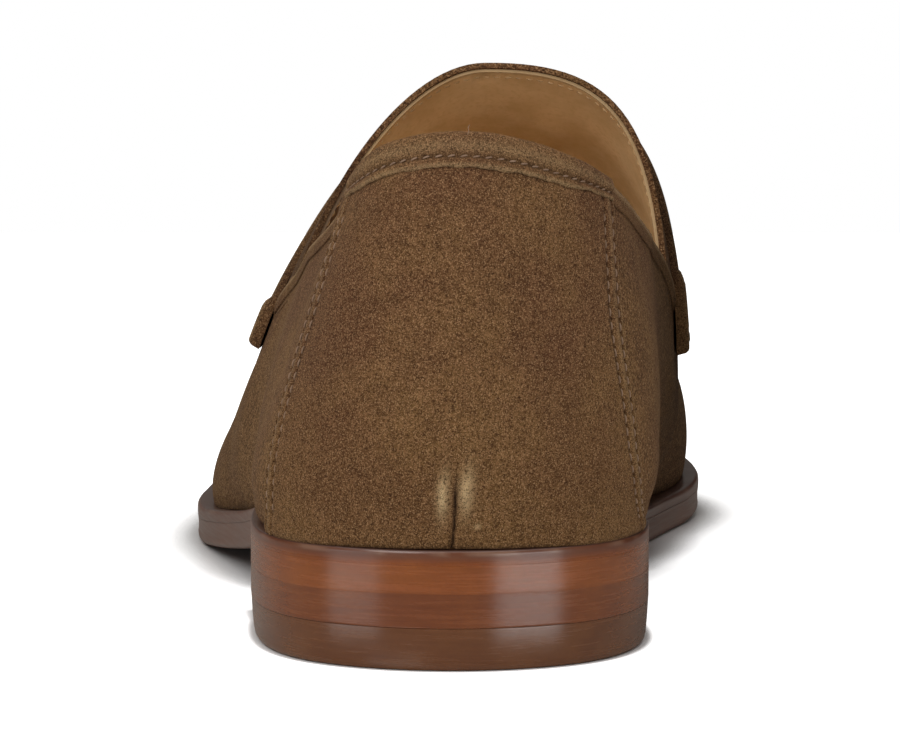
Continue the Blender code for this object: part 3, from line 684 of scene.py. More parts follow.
# %% Helper for a closed sheet
def closed_sheet(under, outside):
    """Points and faces of a shell between two grids of the same size."""
    rows, columns = under.shape[:2]
    count = rows * columns
    points = np.concatenate([outside.reshape(-1, 3), under.reshape(-1, 3)])
    number = np.arange(count).reshape(rows, columns)
    border = np.concatenate([number[:, 0], number[-1, 1:], number[-2::-1, -1], number[0, -2:0:-1]])
    after = np.roll(border, -1)
    strips = np.stack([border, border + count, after + count, after], axis=1)
    faces = np.concatenate([grid_faces(rows, columns), grid_faces(rows, columns, count)[:, ::-1], strips])
    return points, faces


def both_faces(**masks):
    """Masks for a closed sheet, the same on its outside and on its underside."""
    return {mask: np.concatenate([values.ravel()] * 2) for mask, values in masks.items()}


def arc_lengths(grid, axis):
    """Distance walked along one axis of a grid."""
    step = np.linalg.norm(np.diff(grid, axis=axis), axis=-1)
    start = np.zeros_like(np.take(step, [0], axis=axis))
    return np.concatenate([start, np.cumsum(step, axis=axis)], axis=axis)


def rounded(distance, radius):
    """Share of the full thickness near a cut edge."""
    t = np.clip(distance / radius, 0, 1)
    return np.sqrt(1 - (1 - t) ** 2)


def graded(count, stretches):
    """Places from 0 to 1, closer together by the given factor inside each (low, high, factor)."""
    fine = np.linspace(0, 1, 4001)
    weight = np.ones_like(fine)
    for low, high, factor in stretches:
        weight = np.where((fine >= low) & (fine <= high), factor, weight)
    total = np.concatenate([[0], np.cumsum((weight[1:] + weight[:-1]) / 2)])
    return np.interp(np.linspace(0, total[-1], count), total, fine)


# %% The heel panel's base
BASE, THINNEST = 0.05, 0.04
BINDING_FULL = 5.2
# y, how far the binding reaches down the outside
BINDING_WIDTH = [(2.0, BINDING_FULL), (6.0, 5.0), (14.0, 3.6), (22.0, 2.6), (110.0, 2.2)]
# share of the way up, y of the seam on the feather edge
PANEL_SEAM = {
    LATERAL: [
        (0.0, 25.6), (0.1, 24.4), (0.25, 22.9), (0.4, 21.8), (0.5, 21.0), (0.6, 19.9), (0.7, 18.4),
        (0.8, 16.8), (1.0, 14.7),
    ],
    MEDIAL: [
        (0.0, 33.0), (0.1, 28.7), (0.2, 25.4), (0.4, 22.0), (0.5, 20.5), (0.6, 18.9), (0.72, 17.8),
        (0.85, 18.1), (1.0, 19.4),
    ],
}
PANEL_FOOT_SHARE, PANEL_TUCK, PANEL_THICK = 0.004, 1.0, 1.15
PANEL_COLUMNS, PANEL_ROWS = 205, 200
binding_width = smooth_table(BINDING_WIDTH)
panel_seam = {side: smooth_table(rows) for side, rows in PANEL_SEAM.items()}


def panel_base():
    """A grid on the last from the lateral seam to the medial one, foot to binding."""
    across = graded(PANEL_COLUMNS, [(0.0, 0.16, 2.4), (0.40, 0.60, 2.2), (0.84, 1.0, 2.4)]) * 2 - 1
    up = np.linspace(0, 1, PANEL_ROWS)
    grid = []
    for place in across:
        side = LATERAL if place < 0 else MEDIAL
        t = 1 - math.cos(abs(place) * math.pi / 2)
        y = BACK_Y + (panel_seam[side](up) - BACK_Y) * t
        high = below(side, y[-1], collar_share(side, y[-1]), binding_width(y[-1]) - PANEL_TUCK)
        grid.append(last_point(side, y, PANEL_FOOT_SHARE + (high - PANEL_FOOT_SHARE) * up))
    return np.array(grid)


panel = panel_base()
panel_out = grid_normals(panel)
panel_walk = arc_lengths(panel, 0)
middle = PANEL_COLUMNS // 2
panel_side = panel_walk - panel_walk[middle]
panel_edge = np.minimum(panel_walk, panel_walk[-1] - panel_walk)
panel_up = arc_lengths(panel, 1)
panel_top = panel_up[:, -1:] - panel_up
print("heel panel", panel_walk[-1].max().round(1), "mm round,", panel_up.max().round(1), "mm high")

# %% [markdown]
# The panel is sewn down with two rows on each side. Each stitch pulls its ends in, so the rows lie in a
# shallow groove with a dark hole at every gap. The rows are measured from the cut edge.

# %% Rows of stitches on the heel panel, and the holes between the stitches
SEAM_ROWS_MM, STITCH_PITCH, STITCH_START, STITCH_COVER = (1.4, 4.2), 2.2, 0.3, 0.60
HOLE_WIDE, HOLE_LONG = 0.36, 0.30


def line_at(grid, out, distance, wanted, axis):
    """Where a measured distance reaches the wanted value, along one axis of a grid."""
    line, away = [], []
    for k in range(grid.shape[1 - axis]):
        values = np.take(distance, k, axis=1 - axis)
        order = np.argsort(values)
        spots, outs = np.take(grid, k, axis=1 - axis), np.take(out, k, axis=1 - axis)
        line.append([np.interp(wanted, values[order], spots[order, c]) for c in range(3)])
        away.append([np.interp(wanted, values[order], outs[order, c]) for c in range(3)])
    return np.array(line), np.array(away)


seam_rows, holes = [], np.zeros_like(panel_walk)
for measured in (panel_walk, panel_walk[-1] - panel_walk):
    for place in SEAM_ROWS_MM:
        line, away = line_at(panel, panel_out, measured, place, 0)
        seam_rows.append((line, away))
        stitch = arc_lengths(line, 0) / STITCH_PITCH - STITCH_START
        from_gap = (stitch - (1 + STITCH_COVER) / 2 + 0.5) % 1 - 0.5
        holes += hump(measured, place, HOLE_WIDE) * hump(from_gap * STITCH_PITCH, 0, HOLE_LONG)
print(len(seam_rows), "rows of stitches on the heel panel")

# %% [markdown]
# The heel seam is pulled in hard at its foot: a dark slit with a pale pucker on each side, and the suede
# around it drawn inwards. Sculpting would do as well; soft troughs and humps are easier to place and change.

# %% The crease at the heel
SLIT_X, SLIT_LEAN, SLIT_FOOT, SLIT_TOP, SLIT_DEPTH = 0.1, 0.105, 19.5, 31.0, 0.80
DRAWN_IN, DRAWN_WIDE = 0.55, 6.0
# aside of the slit, half width, height above the floor, half height
PUCKER_LEFT, PUCKER_RIGHT = (-2.0, 0.85, 28.4, 3.3), (1.6, 1.05, 29.2, 3.4)
WORN_SPOT = (3.6, 0.5, 23.4, 0.45)
height = panel[..., 2]
slit_x = SLIT_X + SLIT_LEAN * (height - SLIT_FOOT) + 0.08 * np.sin(height / 1.7)
from_slit = panel_side - slit_x
slit = hump(from_slit, 0.0, 0.21 + 0.008 * np.clip(height - 20, 0, 10))
slit *= 1 - smooth_step(height, SLIT_TOP - 4, SLIT_TOP + 2)
pucker_left, pucker_right, worn_spot = (
    hump(from_slit, aside, wide) * hump(height, up, tall)
    for aside, wide, up, tall in (PUCKER_LEFT, PUCKER_RIGHT, WORN_SPOT)
)
pull = 1 - smooth_step(height, 22.0, SLIT_TOP + 7.0)
relief = -DRAWN_IN * pull * hump(from_slit, 0.0, DRAWN_WIDE) - SLIT_DEPTH * slit
relief += 0.50 * pucker_left + 0.55 * pucker_right
rub = 0.95 * pucker_left + 0.85 * pucker_right + 0.6 * worn_spot
print("crease", round(relief.min(), 2), "to", round(relief.max(), 2), "mm off the panel")

# %% The heel panel
ROW_SINK, ROW_WIDE, HOLE_SINK = 0.26, 0.42, 0.40
BETWEEN_ROWS = sum(SEAM_ROWS_MM) / 2
PANEL_EDGE_ROUND, TUCK_THINS = 0.9, 0.35
for place in SEAM_ROWS_MM:
    relief -= ROW_SINK * hump(panel_edge, place, ROW_WIDE)
relief -= HOLE_SINK * holes
relief += RIM_SWELL * smooth_step(abs(panel_side), 12.0, 22.0) * hump(height, RIM_SWELL_Z, RIM_SWELL_WIDTH)
relief += 0.12 * hump(panel_edge, BETWEEN_ROWS, 0.6)
relief += 0.16 * np.sin(panel_side / 6.1 + 0.8) * np.sin(height / 7.9 + panel_side / 15.0)
tucked = 1 - smooth_step(panel_top, 0.2, PANEL_TUCK + 0.9)
thick = PANEL_THICK * rounded(panel_edge, PANEL_EDGE_ROUND) * (1 - TUCK_THINS * tucked)
outer = BASE + np.maximum(thick + relief, THINNEST)
rub += 0.45 * hump(panel_edge, 0.35, 0.35) + 0.12 * hump(panel_edge, BETWEEN_ROWS, 0.5)
# Painted shade in the slit, in the stitch grooves and their holes, and along the panel's foot above the rim.
in_rows = sum(hump(panel_edge, place, 0.35) for place in SEAM_ROWS_MM)
shade = np.clip(0.85 * slit + 0.12 * in_rows + 0.8 * holes, 0, 1)
shade = np.maximum(shade, 0.5 * (1 - smooth_step(height, 19.4, 20.6)))
points, faces = closed_sheet(panel + BASE * panel_out, panel + outer[..., None] * panel_out)
masks = both_faces(rub=np.clip(rub, 0, 1), shade=shade)
make_piece("heel_panel", points, faces, SUEDE, ["heel_counter"], masks, crisp=80)

# %% [markdown]
# The strap is a plain band over the instep. Its ends are turned under and sewn, so they stand thicker, and
# its back edge gapes a little where the foot bends. It is built like the panel, on its own grid.

# %% The strap's base
STRAP_END_HEIGHT = {LATERAL: 42.0, MEDIAL: 41.0}
# share of the climb to the ridge, y of the back edge, y of the front edge
STRAP_EDGES = [(0.0, 123.0, 161.0), (0.5, 125.6, 156.5), (0.9, 127.6, 153.6), (1.0, 127.6, 153.6)]
STRAP_COLUMNS, STRAP_ROWS = 201, 64
strap_back, strap_front = smooth_table(STRAP_EDGES, 1), smooth_table(STRAP_EDGES, 2)


def strap_base():
    """A grid on the last from the lateral end over the ridge to the medial end."""
    forward = graded(STRAP_ROWS, [(0, 0.12, 3.0), (0.88, 1, 3.0)])
    grid = []
    for place in graded(STRAP_COLUMNS, [(0.0, 0.05, 4.0), (0.95, 1.0, 4.0)]) * 2 - 1:
        side, climb = (LATERAL if place < 0 else MEDIAL), 1 - abs(place)
        y = strap_back(climb) + (strap_front(climb) - strap_back(climb)) * forward
        ends = np.interp(y, y[::9], [at_height(side, v, STRAP_END_HEIGHT[side]) for v in y[::9]])
        grid.append(last_point(side, y, ends + (1 - ends) * climb))
    return np.array(grid)


strap = strap_base()
strap_out = grid_normals(strap)
strap_walk, strap_wide = arc_lengths(strap, 0), arc_lengths(strap, 1)
to_end = np.minimum(strap_walk, strap_walk[-1] - strap_walk)
to_side = np.minimum(strap_wide, strap_wide[:, -1:] - strap_wide)
edge = np.minimum(to_end, to_side)
print("strap", strap_walk.max().round(1), "mm over the instep,", strap_wide.max().round(1), "mm wide")

# %% The strap over the instep
STRAP_THICK, STRAP_EDGE_ROUND, STRAP_GAPE = 1.5, 1.3, 0.5
STRAP_ROW_MM, STRAP_ROW_SINK = 3.0, 0.25
FOLD_LONG, FOLD_THICK = {LATERAL: 9.5, MEDIAL: 15.0}, 0.9
gape = STRAP_GAPE * (1 - smooth_step(to_end, 4.0, 26.0)) * (1 - smooth_step(strap_wide, 0.0, 9.0))
fold = np.full((STRAP_COLUMNS, 1), FOLD_LONG[LATERAL])
fold[STRAP_COLUMNS // 2 :] = FOLD_LONG[MEDIAL]
folded = FOLD_THICK * (1 - smooth_step(to_end, fold - 1.2, fold + 0.6))
thick = (STRAP_THICK + folded) * rounded(edge, STRAP_EDGE_ROUND)
thick -= STRAP_ROW_SINK * hump(edge, STRAP_ROW_MM, 0.45)
rub = 0.30 * hump(edge, 1.1, 0.5)
# Painted shade in the stitch row's groove and on the strap's back edge, stronger above the folded ends.
back_edge_shade = 0.10 + 0.25 * smooth_step(to_end, fold - 1.0, fold + 3.0)
shade = 0.25 * hump(edge, STRAP_ROW_MM, 0.4) + back_edge_shade * (1 - smooth_step(strap_wide, 0.3, 2.2))
under = BASE + gape
outer = under + np.maximum(thick, THINNEST)
points, faces = closed_sheet(strap + under[..., None] * strap_out, strap + outer[..., None] * strap_out)
masks = both_faces(rub=rub, shade=shade)
make_piece("instep_strap", points, faces, SUEDE, ["saddle_strap"], masks, crisp=80)

# %% [markdown]
# ## Collar binding
# A strip of suede folded over the collar and sewn through with one row. It puffs up above the stitches
# and ends in a flat lip below them. One section is moved along the collar, and the stitches pinch it at
# every step, which a plain curve with a round bevel could not show.

# %% The binding's path
BINDING_INSIDE, BINDING_END_Y = 3.6, 129.0
BINDING_STEP, BINDING_PITCH = 0.3, 1.9


def collar_path():
    """(side, y) at even steps along the collar, from the lateral end to the medial end."""
    path = []
    for side in (LATERAL, MEDIAL):
        y = BACK_Y + (BINDING_END_Y - BACK_Y) * end_spacing(160, math.pi / 2)
        line = np.array([last_point(side, v, collar_share(side, v)) for v in y])
        walked = np.concatenate([[0], np.cumsum(np.linalg.norm(np.diff(line, axis=0), axis=1))])
        even = np.interp(np.arange(0, walked[-1], BINDING_STEP), walked, y)
        path.append([(side, v) for v in even])
    return path[0][::-1] + path[1][1:]


path = collar_path()
over_panel = []
for side, y in path:
    seam = PANEL_SEAM[side][-1][1]
    over_panel.append(1 - smooth_step(y, seam - 1.0, seam + 0.6))
over_panel = np.array(over_panel)
print("binding", round(len(path) * BINDING_STEP), "mm long")

# %% The collar's faces under the binding
# height above the lip's edge, thickness of the strip there
LIP_PROFILE = [
    (0.0, 0.05), (0.10, 0.42), (0.35, 0.60), (0.9, 0.66), (1.35, 0.56), (1.65, 0.34), (1.85, 0.30),
    (2.05, 0.38), (2.4, 0.66), (2.9, 0.84), (3.5, 0.95), (4.2, 0.96), (4.8, 0.92), (5.2, 0.88),
]
rise, strip = np.array(LIP_PROFILE).T
inner_fall = np.array([0.4, 1.2, 2.2, 3.2, BINDING_INSIDE])
along = np.arange(len(path)) * BINDING_STEP
ease = 0.35 + 0.65 * smooth_step(np.minimum(along, along[-1] - along), 0.0, 10.0)
ragged = 0.14 * np.sin(along / 1.3) * np.sin(along / 4.1 + 0.6) + 0.08 * np.sin(along / 0.55)
wall_face, inner_face = [], []
for (side, y), full, rag in zip(path, ease, ragged * over_panel):
    top = collar_share(side, y)
    full = full * binding_width(y) / BINDING_FULL
    fall = (BINDING_FULL - rise) * full + rag * np.clip(1 - rise, 0, 1)
    wall_face.append(last_point(side, y, below(side, y, top, fall)))
    inner_face.append(last_point(side, y, below(side, y, top, inner_fall)))
wall_face, inner_face = np.array(wall_face), np.array(inner_face)
face_out = grid_normals(wall_face)
print("collar's top", wall_face[..., 2].max().round(1), "mm above the floor")

# %% The strip's outside, puffed up above its stitches
STITCH_ABOVE_LIP, PINCH_DEPTH, OVER_PANEL_LIFT = 1.85, 0.16, 0.80
pinch = (0.5 + 0.5 * np.cos(2 * math.pi * along / BINDING_PITCH))[:, None]
sewn = over_panel[:, None]
lift = BASE + OVER_PANEL_LIFT * over_panel
plain_fold = 0.34 * rounded(rise, 0.35) + 0.40 * smooth_step(rise, 0.4, 4.4)
puff = (strip * sewn + plain_fold * (1 - sewn)) * (1 + 0.10 * (1 - pinch) * hump(rise, 3.0, 1.2))
puff -= PINCH_DEPTH * sewn * pinch * hump(rise, STITCH_ABOVE_LIP + 0.25, 0.5)
wobble = 0.16 * np.sin(along / 3.7) * np.sin(along / 9.0)
wobble += 0.12 * np.sin(along / 1.9 + 1.0) * np.sin(along / 5.3)
wobble *= 0.25 + 0.75 * over_panel
puff *= (ease * (1 + 0.8 * wobble))[:, None]
outer = wall_face + (lift[:, None] + np.maximum(puff, THINNEST))[..., None] * face_out
print("strip up to", puff.max().round(2), "mm thick")

# %% The strip's fold over the edge, and its inside
INSIDE_THICK, FOLD_RISE = 0.75, 1.10
top_out = face_out[:, -1:]
top_up = wall_face[:, -1:] - wall_face[:, -3:-2]
top_up /= np.linalg.norm(top_up, axis=-1, keepdims=True)
flat = smooth_step(np.array([y for side, y in path]), NOTCH_Y - 3.0, NOTCH_Y)
wall = (WALL + BASE) * (1 - flat)
reach_out, reach_in = lift + puff[:, -1], wall + INSIDE_THICK * (1 - flat) + 0.1 * flat
centre, half = (reach_out - reach_in) / 2, (reach_out + reach_in) / 2
angle = np.linspace(0, math.pi, 11)[1:-1]
over_away = centre[:, None] + half[:, None] * np.cos(angle)
over_rise = (FOLD_RISE * ease + 0.35 * wobble)[:, None] * np.sin(angle) ** 0.8
over = wall_face[:, -1:] + over_away[..., None] * top_out + over_rise[..., None] * top_up
deep = wall[:, None] + INSIDE_THICK * rounded(BINDING_INSIDE + 0.02 - inner_fall, 0.8)
inside = inner_face - deep[..., None] * top_out
inside_back = inner_face[:, ::-2] - wall[:, None, None] * top_out
crown = wall_face[:, -1:] - (wall[:, None] * (1.0, 0.0))[..., None] * top_out + BASE * top_up
outer_back = wall_face[:, ::-4] + lift[:, None, None] * face_out[:, ::-4]
rings = np.concatenate([outer, over, inside, inside_back, crown, outer_back], axis=1)
print(rings.shape[0], "sections of", rings.shape[1], "points")

# %% The binding
count, ring = rings.shape[:2]
number = np.arange(count * ring).reshape(count, ring)
following = np.roll(number, -1, axis=1)
faces = np.stack([number[:-1], number[1:], following[1:], following[:-1]], axis=-1).reshape(-1, 4).tolist()
faces += [number[0].tolist(), number[-1, ::-1].tolist()]
rub, shade = np.zeros((count, ring)), np.zeros((count, ring))
# Rubbing on the lip and the puff. Beyond the panel the pale top edge is a painted highlight as well as
# rubbing. The stitch row's groove gets painted shade.
lip_rub = 0.35 * hump(rise, 0.2, 0.3) + 0.18 * hump(rise, 3.4, 0.9)
rub[:, : len(rise)] = sewn * lip_rub + 0.35 * (1 - sewn) * hump(rise, 5.0, 1.2)
shade[:, : len(rise)] = 0.5 * sewn * hump(rise, STITCH_ABOVE_LIP, 0.25)
masks, points = {"rub": rub, "shade": shade}, rings.reshape(-1, 3)
make_piece("collar_strip", points, faces, BINDING_SUEDE, ["collar_binding"], masks, crisp=80)


# %% [markdown]
# ## Stitches
# Each visible stitch is a short bowed piece of thread that dips into the suede at both ends. Rows are
# measured along the surface, so the pitch stays even on the curved heel. All the stitches of a seam are
# one mesh, as they are never moved apart.

# %% Helpers for stitches
THREAD_RADIUS, BEND_POINTS = 0.16, 7


def thread_tube(line, radius, sides=6):
    """Points and faces of a thin closed tube along a line of points."""
    line = np.asarray(line)
    ahead = np.gradient(line, axis=0)
    ahead /= np.linalg.norm(ahead, axis=1, keepdims=True)
    across = np.cross(ahead, (0.31, 0.52, 0.79))
    across /= np.linalg.norm(across, axis=1, keepdims=True)
    turn = np.linspace(0, 2 * math.pi, sides, endpoint=False)[None, :, None]
    taper = radius * np.sqrt(np.clip(1 - np.linspace(-0.96, 0.96, len(line)) ** 4, 0.08, 1))
    ring = np.cos(turn) * across[:, None] + np.sin(turn) * np.cross(ahead, across)[:, None]
    points = line[:, None] + taper[:, None, None] * ring
    number = np.arange(points[..., 0].size).reshape(len(line), sides)
    following = np.roll(number, -1, axis=1)
    faces = np.stack([number[:-1], following[:-1], following[1:], number[1:]], axis=-1).reshape(-1, 4)
    return points.reshape(-1, 3), faces.tolist() + [number[0, ::-1].tolist(), number[-1].tolist()]


def join(parts):
    """One set of points and faces from several."""
    points, faces, first = [], [], 0
    for more_points, more_faces in parts:
        points.append(more_points)
        faces += [[first + k for k in face] for face in more_faces]
        first += len(more_points)
    return np.concatenate(points), faces


def stitch_row(line, out, lift, pitch, radius=THREAD_RADIUS, cover=STITCH_COVER, slant=0.0):
    """Stitches over a line on a surface: each one bows out and dips in at its ends."""
    walked = arc_lengths(line, 0)
    raised = np.broadcast_to(np.reshape(lift, (-1, 1)), (len(line), 1))
    share = np.linspace(0, 1, BEND_POINTS)
    parts = []
    for start in np.arange(STITCH_START * pitch, walked[-1] - pitch, pitch):
        place = start + pitch * cover * share
        spot, away, up = (
            np.stack([np.interp(place, walked, column) for column in values.T], axis=1)
            for values in (line, out, raised)
        )
        across = np.cross(away, np.gradient(spot, axis=0))
        across /= np.linalg.norm(across, axis=1, keepdims=True)
        bow = up + radius * (0.75 * np.sin(math.pi * share) - 0.4)[:, None]
        parts.append(thread_tube(spot + bow * away + slant * (2 * share - 1)[:, None] * across, radius))
    return parts


# %% Stitches of the heel panel
PANEL_STITCH_SINK = 0.18
parts = []
for line, away in seam_rows:
    parts += stitch_row(line[:-4], away[:-4], BASE + PANEL_THICK - PANEL_STITCH_SINK, STITCH_PITCH)
points, faces = join(parts)
make_piece("heel_panel_stitches", points, faces, THREAD)

# %% Stitches of the binding, with a loose end of thread at the back
COLLAR_STITCH_LIFT, COLLAR_RADIUS, COLLAR_COVER, COLLAR_SLANT = 0.36, 0.15, 0.55, 0.15
LOOSE_END, LOOSE_RADIUS = [(3.0, 0.0, 0.0), (3.2, -0.35, 0.6), (3.1, -0.5, 1.2), (3.4, -0.45, 1.7)], 0.07
column = int(np.argmin(np.abs(rise - STITCH_ABOVE_LIP)))
held = over_panel > 0.3
line, away, raised = wall_face[held, column], face_out[held, column], lift[held] + COLLAR_STITCH_LIFT
parts = stitch_row(line, away, raised, BINDING_PITCH, COLLAR_RADIUS, COLLAR_COVER, COLLAR_SLANT)
back_of_collar = (0.0, outer[..., 1].min(), outer[..., 2].max())
parts.append(thread_tube(np.array(LOOSE_END) + back_of_collar, LOOSE_RADIUS))
points, faces = join(parts)
make_piece("collar_stitches", points, faces, THREAD)

# %% Stitches of the strap
STRAP_PITCH, STRAP_STITCH_SINK = 2.4, 0.30
# three values a point, as line_at reads them: distance to the end, height of the face, distance to the side
strap_face = np.stack([to_end, under + STRAP_THICK + folded, to_side], axis=-1)
parts = []
for measured in (strap_wide, strap_wide[:, -1:] - strap_wide):
    line, away = line_at(strap, strap_out, measured, STRAP_ROW_MM, 1)
    from_end, raised = line_at(strap_face, strap_out, measured, STRAP_ROW_MM, 1)[0][:, :2].T
    keep = from_end > STRAP_ROW_MM
    parts += stitch_row(line[keep], away[keep], raised[keep] - STRAP_STITCH_SINK, STRAP_PITCH)
points, faces = join(parts)
make_piece("strap_stitches", points, faces, THREAD)

# %% Stitches along the tongue's lining
TONGUE_ROW_MM, TONGUE_PITCH, TONGUE_RADIUS, TONGUE_STITCH_LIFT = 2.6, 2.1, 0.20, 0.10
line, away = [], []
for side, order in ((LATERAL, 1), (MEDIAL, -1)):
    rows = [(top, tongue) for foot, top, tongue in upper_rows() if tongue > 0.1 and top <= THROAT_Y][::order]
    edge_share = collar_share(side, NOTCH_Y)
    for top, tongue in rows:
        high = edge_share + (1 - edge_share) * min(tongue, 0.985)
        front = last_point(side, top + 1.0, high) - last_point(side, top - 1.0, high)
        climb = last_point(side, top, high) - last_point(side, top, high - 0.02)
        inwards = np.cross(climb, front) * side
        line.append(last_point(side, top, high) + TONGUE_ROW_MM * front / np.linalg.norm(front))
        away.append(inwards / np.linalg.norm(inwards))
behind_lining = SUEDE_THICK + LINING_THICK + TONGUE_STITCH_LIFT
parts = stitch_row(np.array(line), np.array(away), behind_lining, TONGUE_PITCH, TONGUE_RADIUS)
points, faces = join(parts)
make_piece("tongue_stitches", points, faces, PALE_THREAD)

# %% [markdown]
# ## Sole, rim, heel and sock
# The sole unit is cut from leather boards, trimmed flush and burnished with a hot iron, which leaves
# rounded arrises. Loops of points round the edge, one for each change of the profile, give those crisp
# rounded edges more exactly than a bevelled slab would.

# %% Helpers for plates
def skin(count, loops, closed=False):
    """Faces between loops that run from the lower face up the side."""
    faces = []
    for k in range(loops if closed else loops - 1):
        low, high = k * count, (k + 1) % loops * count
        i = np.arange(count)
        j = (i + 1) % count
        faces.append(np.stack([low + i, high + i, high + j, low + j], axis=1))
    return np.concatenate(faces).tolist()


def cap(count, first, facing_up):
    """Strips across a loop, from each lateral station to the medial one."""
    faces = []
    for i in range(count // 2):
        strip = list(dict.fromkeys([i, i + 1, (count - i - 1) % count, (count - i) % count]))
        if len(strip) > 2:
            faces.append([first + k for k in (strip[::-1] if facing_up else strip)])
    return faces


def plate(loops):
    """Points and faces of a closed solid from loops, lowest face first."""
    count = len(loops[0])
    faces = skin(count, len(loops)) + cap(count, 0, False) + cap(count, (len(loops) - 1) * count, True)
    return np.concatenate(loops), faces


# %% The outsole
# out from the sole's edge, drop below the feather edge
SOLE_PROFILE = [
    (-1.6, 7.4), (-0.9, 7.38), (-0.35, 7.15), (-0.06, 6.75), (0.0, 6.3), (-0.08, 5.8), (-0.10, 5.2),
    (-0.10, 4.3), (-0.06, 3.7), (0.0, 3.2), (0.07, 2.75), (0.05, 2.53), (-0.04, 2.51), (-1.2, 2.51),
]
SOLE_INSIDE, SOLE_INSIDE_DROPS, SOLE_INK = -8.4, (2.51, 0.3), 0.6
trim = 0.04 + 0.96 * smooth_step(SOLE_STATIONS, HEEL_BREAST_Y - 1.0, HEEL_BREAST_Y + 3.0)
loops = [sole_loop(SOLE_STATIONS, away * trim, drop) for away, drop in SOLE_PROFILE]
loops += [sole_loop(SOLE_STATIONS, SOLE_INSIDE, drop, False) for drop in SOLE_INSIDE_DROPS]
points, faces = plate(loops)
ink = SOLE_INK * smooth_step(points[:, 1], 62.0, 100.0)
make_piece("leather_sole", points, faces, SOLE, ["outsole"], {"shade": ink}, crisp=70)

# %% The rim above it: inked along the top, with painted shade on its top face and pale nicks and painted glints on its arris
WELT_PROFILE = [
    (-1.2, 2.50), (-0.02, 2.495), (0.06, 2.46), (0.1, 2.2), (0.1, 1.2), (0.04, 0.75), (-0.2, 0.35),
    (-0.6, 0.14), (-1.3, 0.08),
]
WELT_INSIDE, WELT_RUB_AND_GLINT, ARRIS_INK, TOP_FACE_SHADE = -8.2, 0.30, 0.50, 0.9
ARRIS, ARRIS_AND_SIDE, TOP_FACE = slice(6, 8), slice(5, 8), slice(8, None)
loops = [sole_loop(SOLE_STATIONS, WELT_INSIDE, WELT_PROFILE[0][1], False)]
for away, drop in WELT_PROFILE:
    loops.append(sole_loop(SOLE_STATIONS, away * (trim if drop > 1.0 else 0.3 + 0.7 * trim), drop))
loops.append(sole_loop(SOLE_STATIONS, WELT_INSIDE, WELT_PROFILE[-1][1], False))
points, faces = np.concatenate(loops), skin(len(loops[0]), len(loops), True)
rng = np.random.default_rng(7)
# pale nicks and painted glints, broken along the rim's arris
nicks_and_glints = np.convolve(rng.random(len(loops[0])), np.ones(3) / 3, "same")
rub = np.zeros((len(loops), len(loops[0])))
rub[ARRIS] = WELT_RUB_AND_GLINT * smooth_step(nicks_and_glints, 0.48, 0.80)
shade = SOLE_INK * smooth_step(points[:, 1], 50.0, 95.0).reshape(rub.shape)
shade[ARRIS_AND_SIDE] = np.maximum(shade[ARRIS_AND_SIDE], ARRIS_INK)
# painted shade on the rim's top face, under the overhanging suede
shade[TOP_FACE] = TOP_FACE_SHADE
masks = {"rub": rub, "shade": shade}
make_piece("leather_rim", points, faces, WELT, ["welt"], masks, crisp=70)


# %% The stacked heel
def heel_loop(away, height, follow_sole=False):
    """A loop round the heel, closed by the straight breast. Height is a level, or a drop below the sole."""
    y = np.append(SOLE_STATIONS[SOLE_STATIONS < HEEL_BREAST_Y - 0.5], HEEL_BREAST_Y)
    loop = sole_loop(y, away, OUTSOLE_DROP + height if follow_sole else 0.0)
    loop[[len(y) - 1, len(y)], 1] = HEEL_BREAST_Y
    if not follow_sole:
        loop[:, 2] = height
    return loop


# out from the sole's edge, and up from the foot of the stack or down from the sole
STACK_FOOT = [(-0.4, 0.0), (-0.06, 0.01), (-0.02, 0.08), (-0.01, 0.3)]
STACK_TOP = [(0.0, 0.3), (0.02, -0.30), (-0.3, -0.31)]
foot = TOP_PIECE_HEIGHT + 0.01
loops = [heel_loop(away, foot + up) for away, up in STACK_FOOT]
loops += [heel_loop(away, drop, True) for away, drop in STACK_TOP]
points, faces = plate(loops)
make_piece("heel_stack", points, faces, STACK, ["heel_lift"], crisp=60)
# out from the sole's edge, height above the floor
TOP_PIECE_PROFILE = [
    (-1.3, 0.0), (-0.85, 0.12), (-0.6, 0.5), (-0.45, 1.3), (-0.25, 3.4), (-0.06, 6.5), (-0.08, 6.86),
    (-0.4, 6.9),
]
points, faces = plate([heel_loop(away, height) for away, height in TOP_PIECE_PROFILE])
make_piece("heel_top_piece", points, faces, TOP_PIECE, ["top_piece"], crisp=60)

# %% The sock on the insole
SOCK_PROFILE = [(-3.2, 0.0), (-2.6, -2.2), (-2.7, -3.1), (-3.4, -3.2), (-5.0, -2.9), (-9.0, -2.65)]
points, faces = plate([sole_loop(SOLE_STATIONS, away, drop, False) for away, drop in SOCK_PROFILE])
make_piece("leather_sock", points, faces, SOCK, ["insole"], crisp=70)

# %% [markdown]
# ## Floor
# The shoe stands on a glossy white sweep that the light turns pure white. A plain bright plane would lose
# the contact with it, so it glows for the camera only where nothing is near: the glow fades in a thin line
# round the heel and in a wider one under the forefoot. In the waxed heel the floor mirrors a little greyer.

# %% The white sweep
FLOOR_HALF, FLOOR_ROUGHNESS = 1.3, 0.15
FLOOR_TONE, FLOOR_IN_MIRRORS = "#f7f7f7", "#a29a92"
# y from the heel to the forefoot, reach of the contact shade there, in metres
CONTACT_REACH = (-0.09, -0.02, 0.002, 0.016)
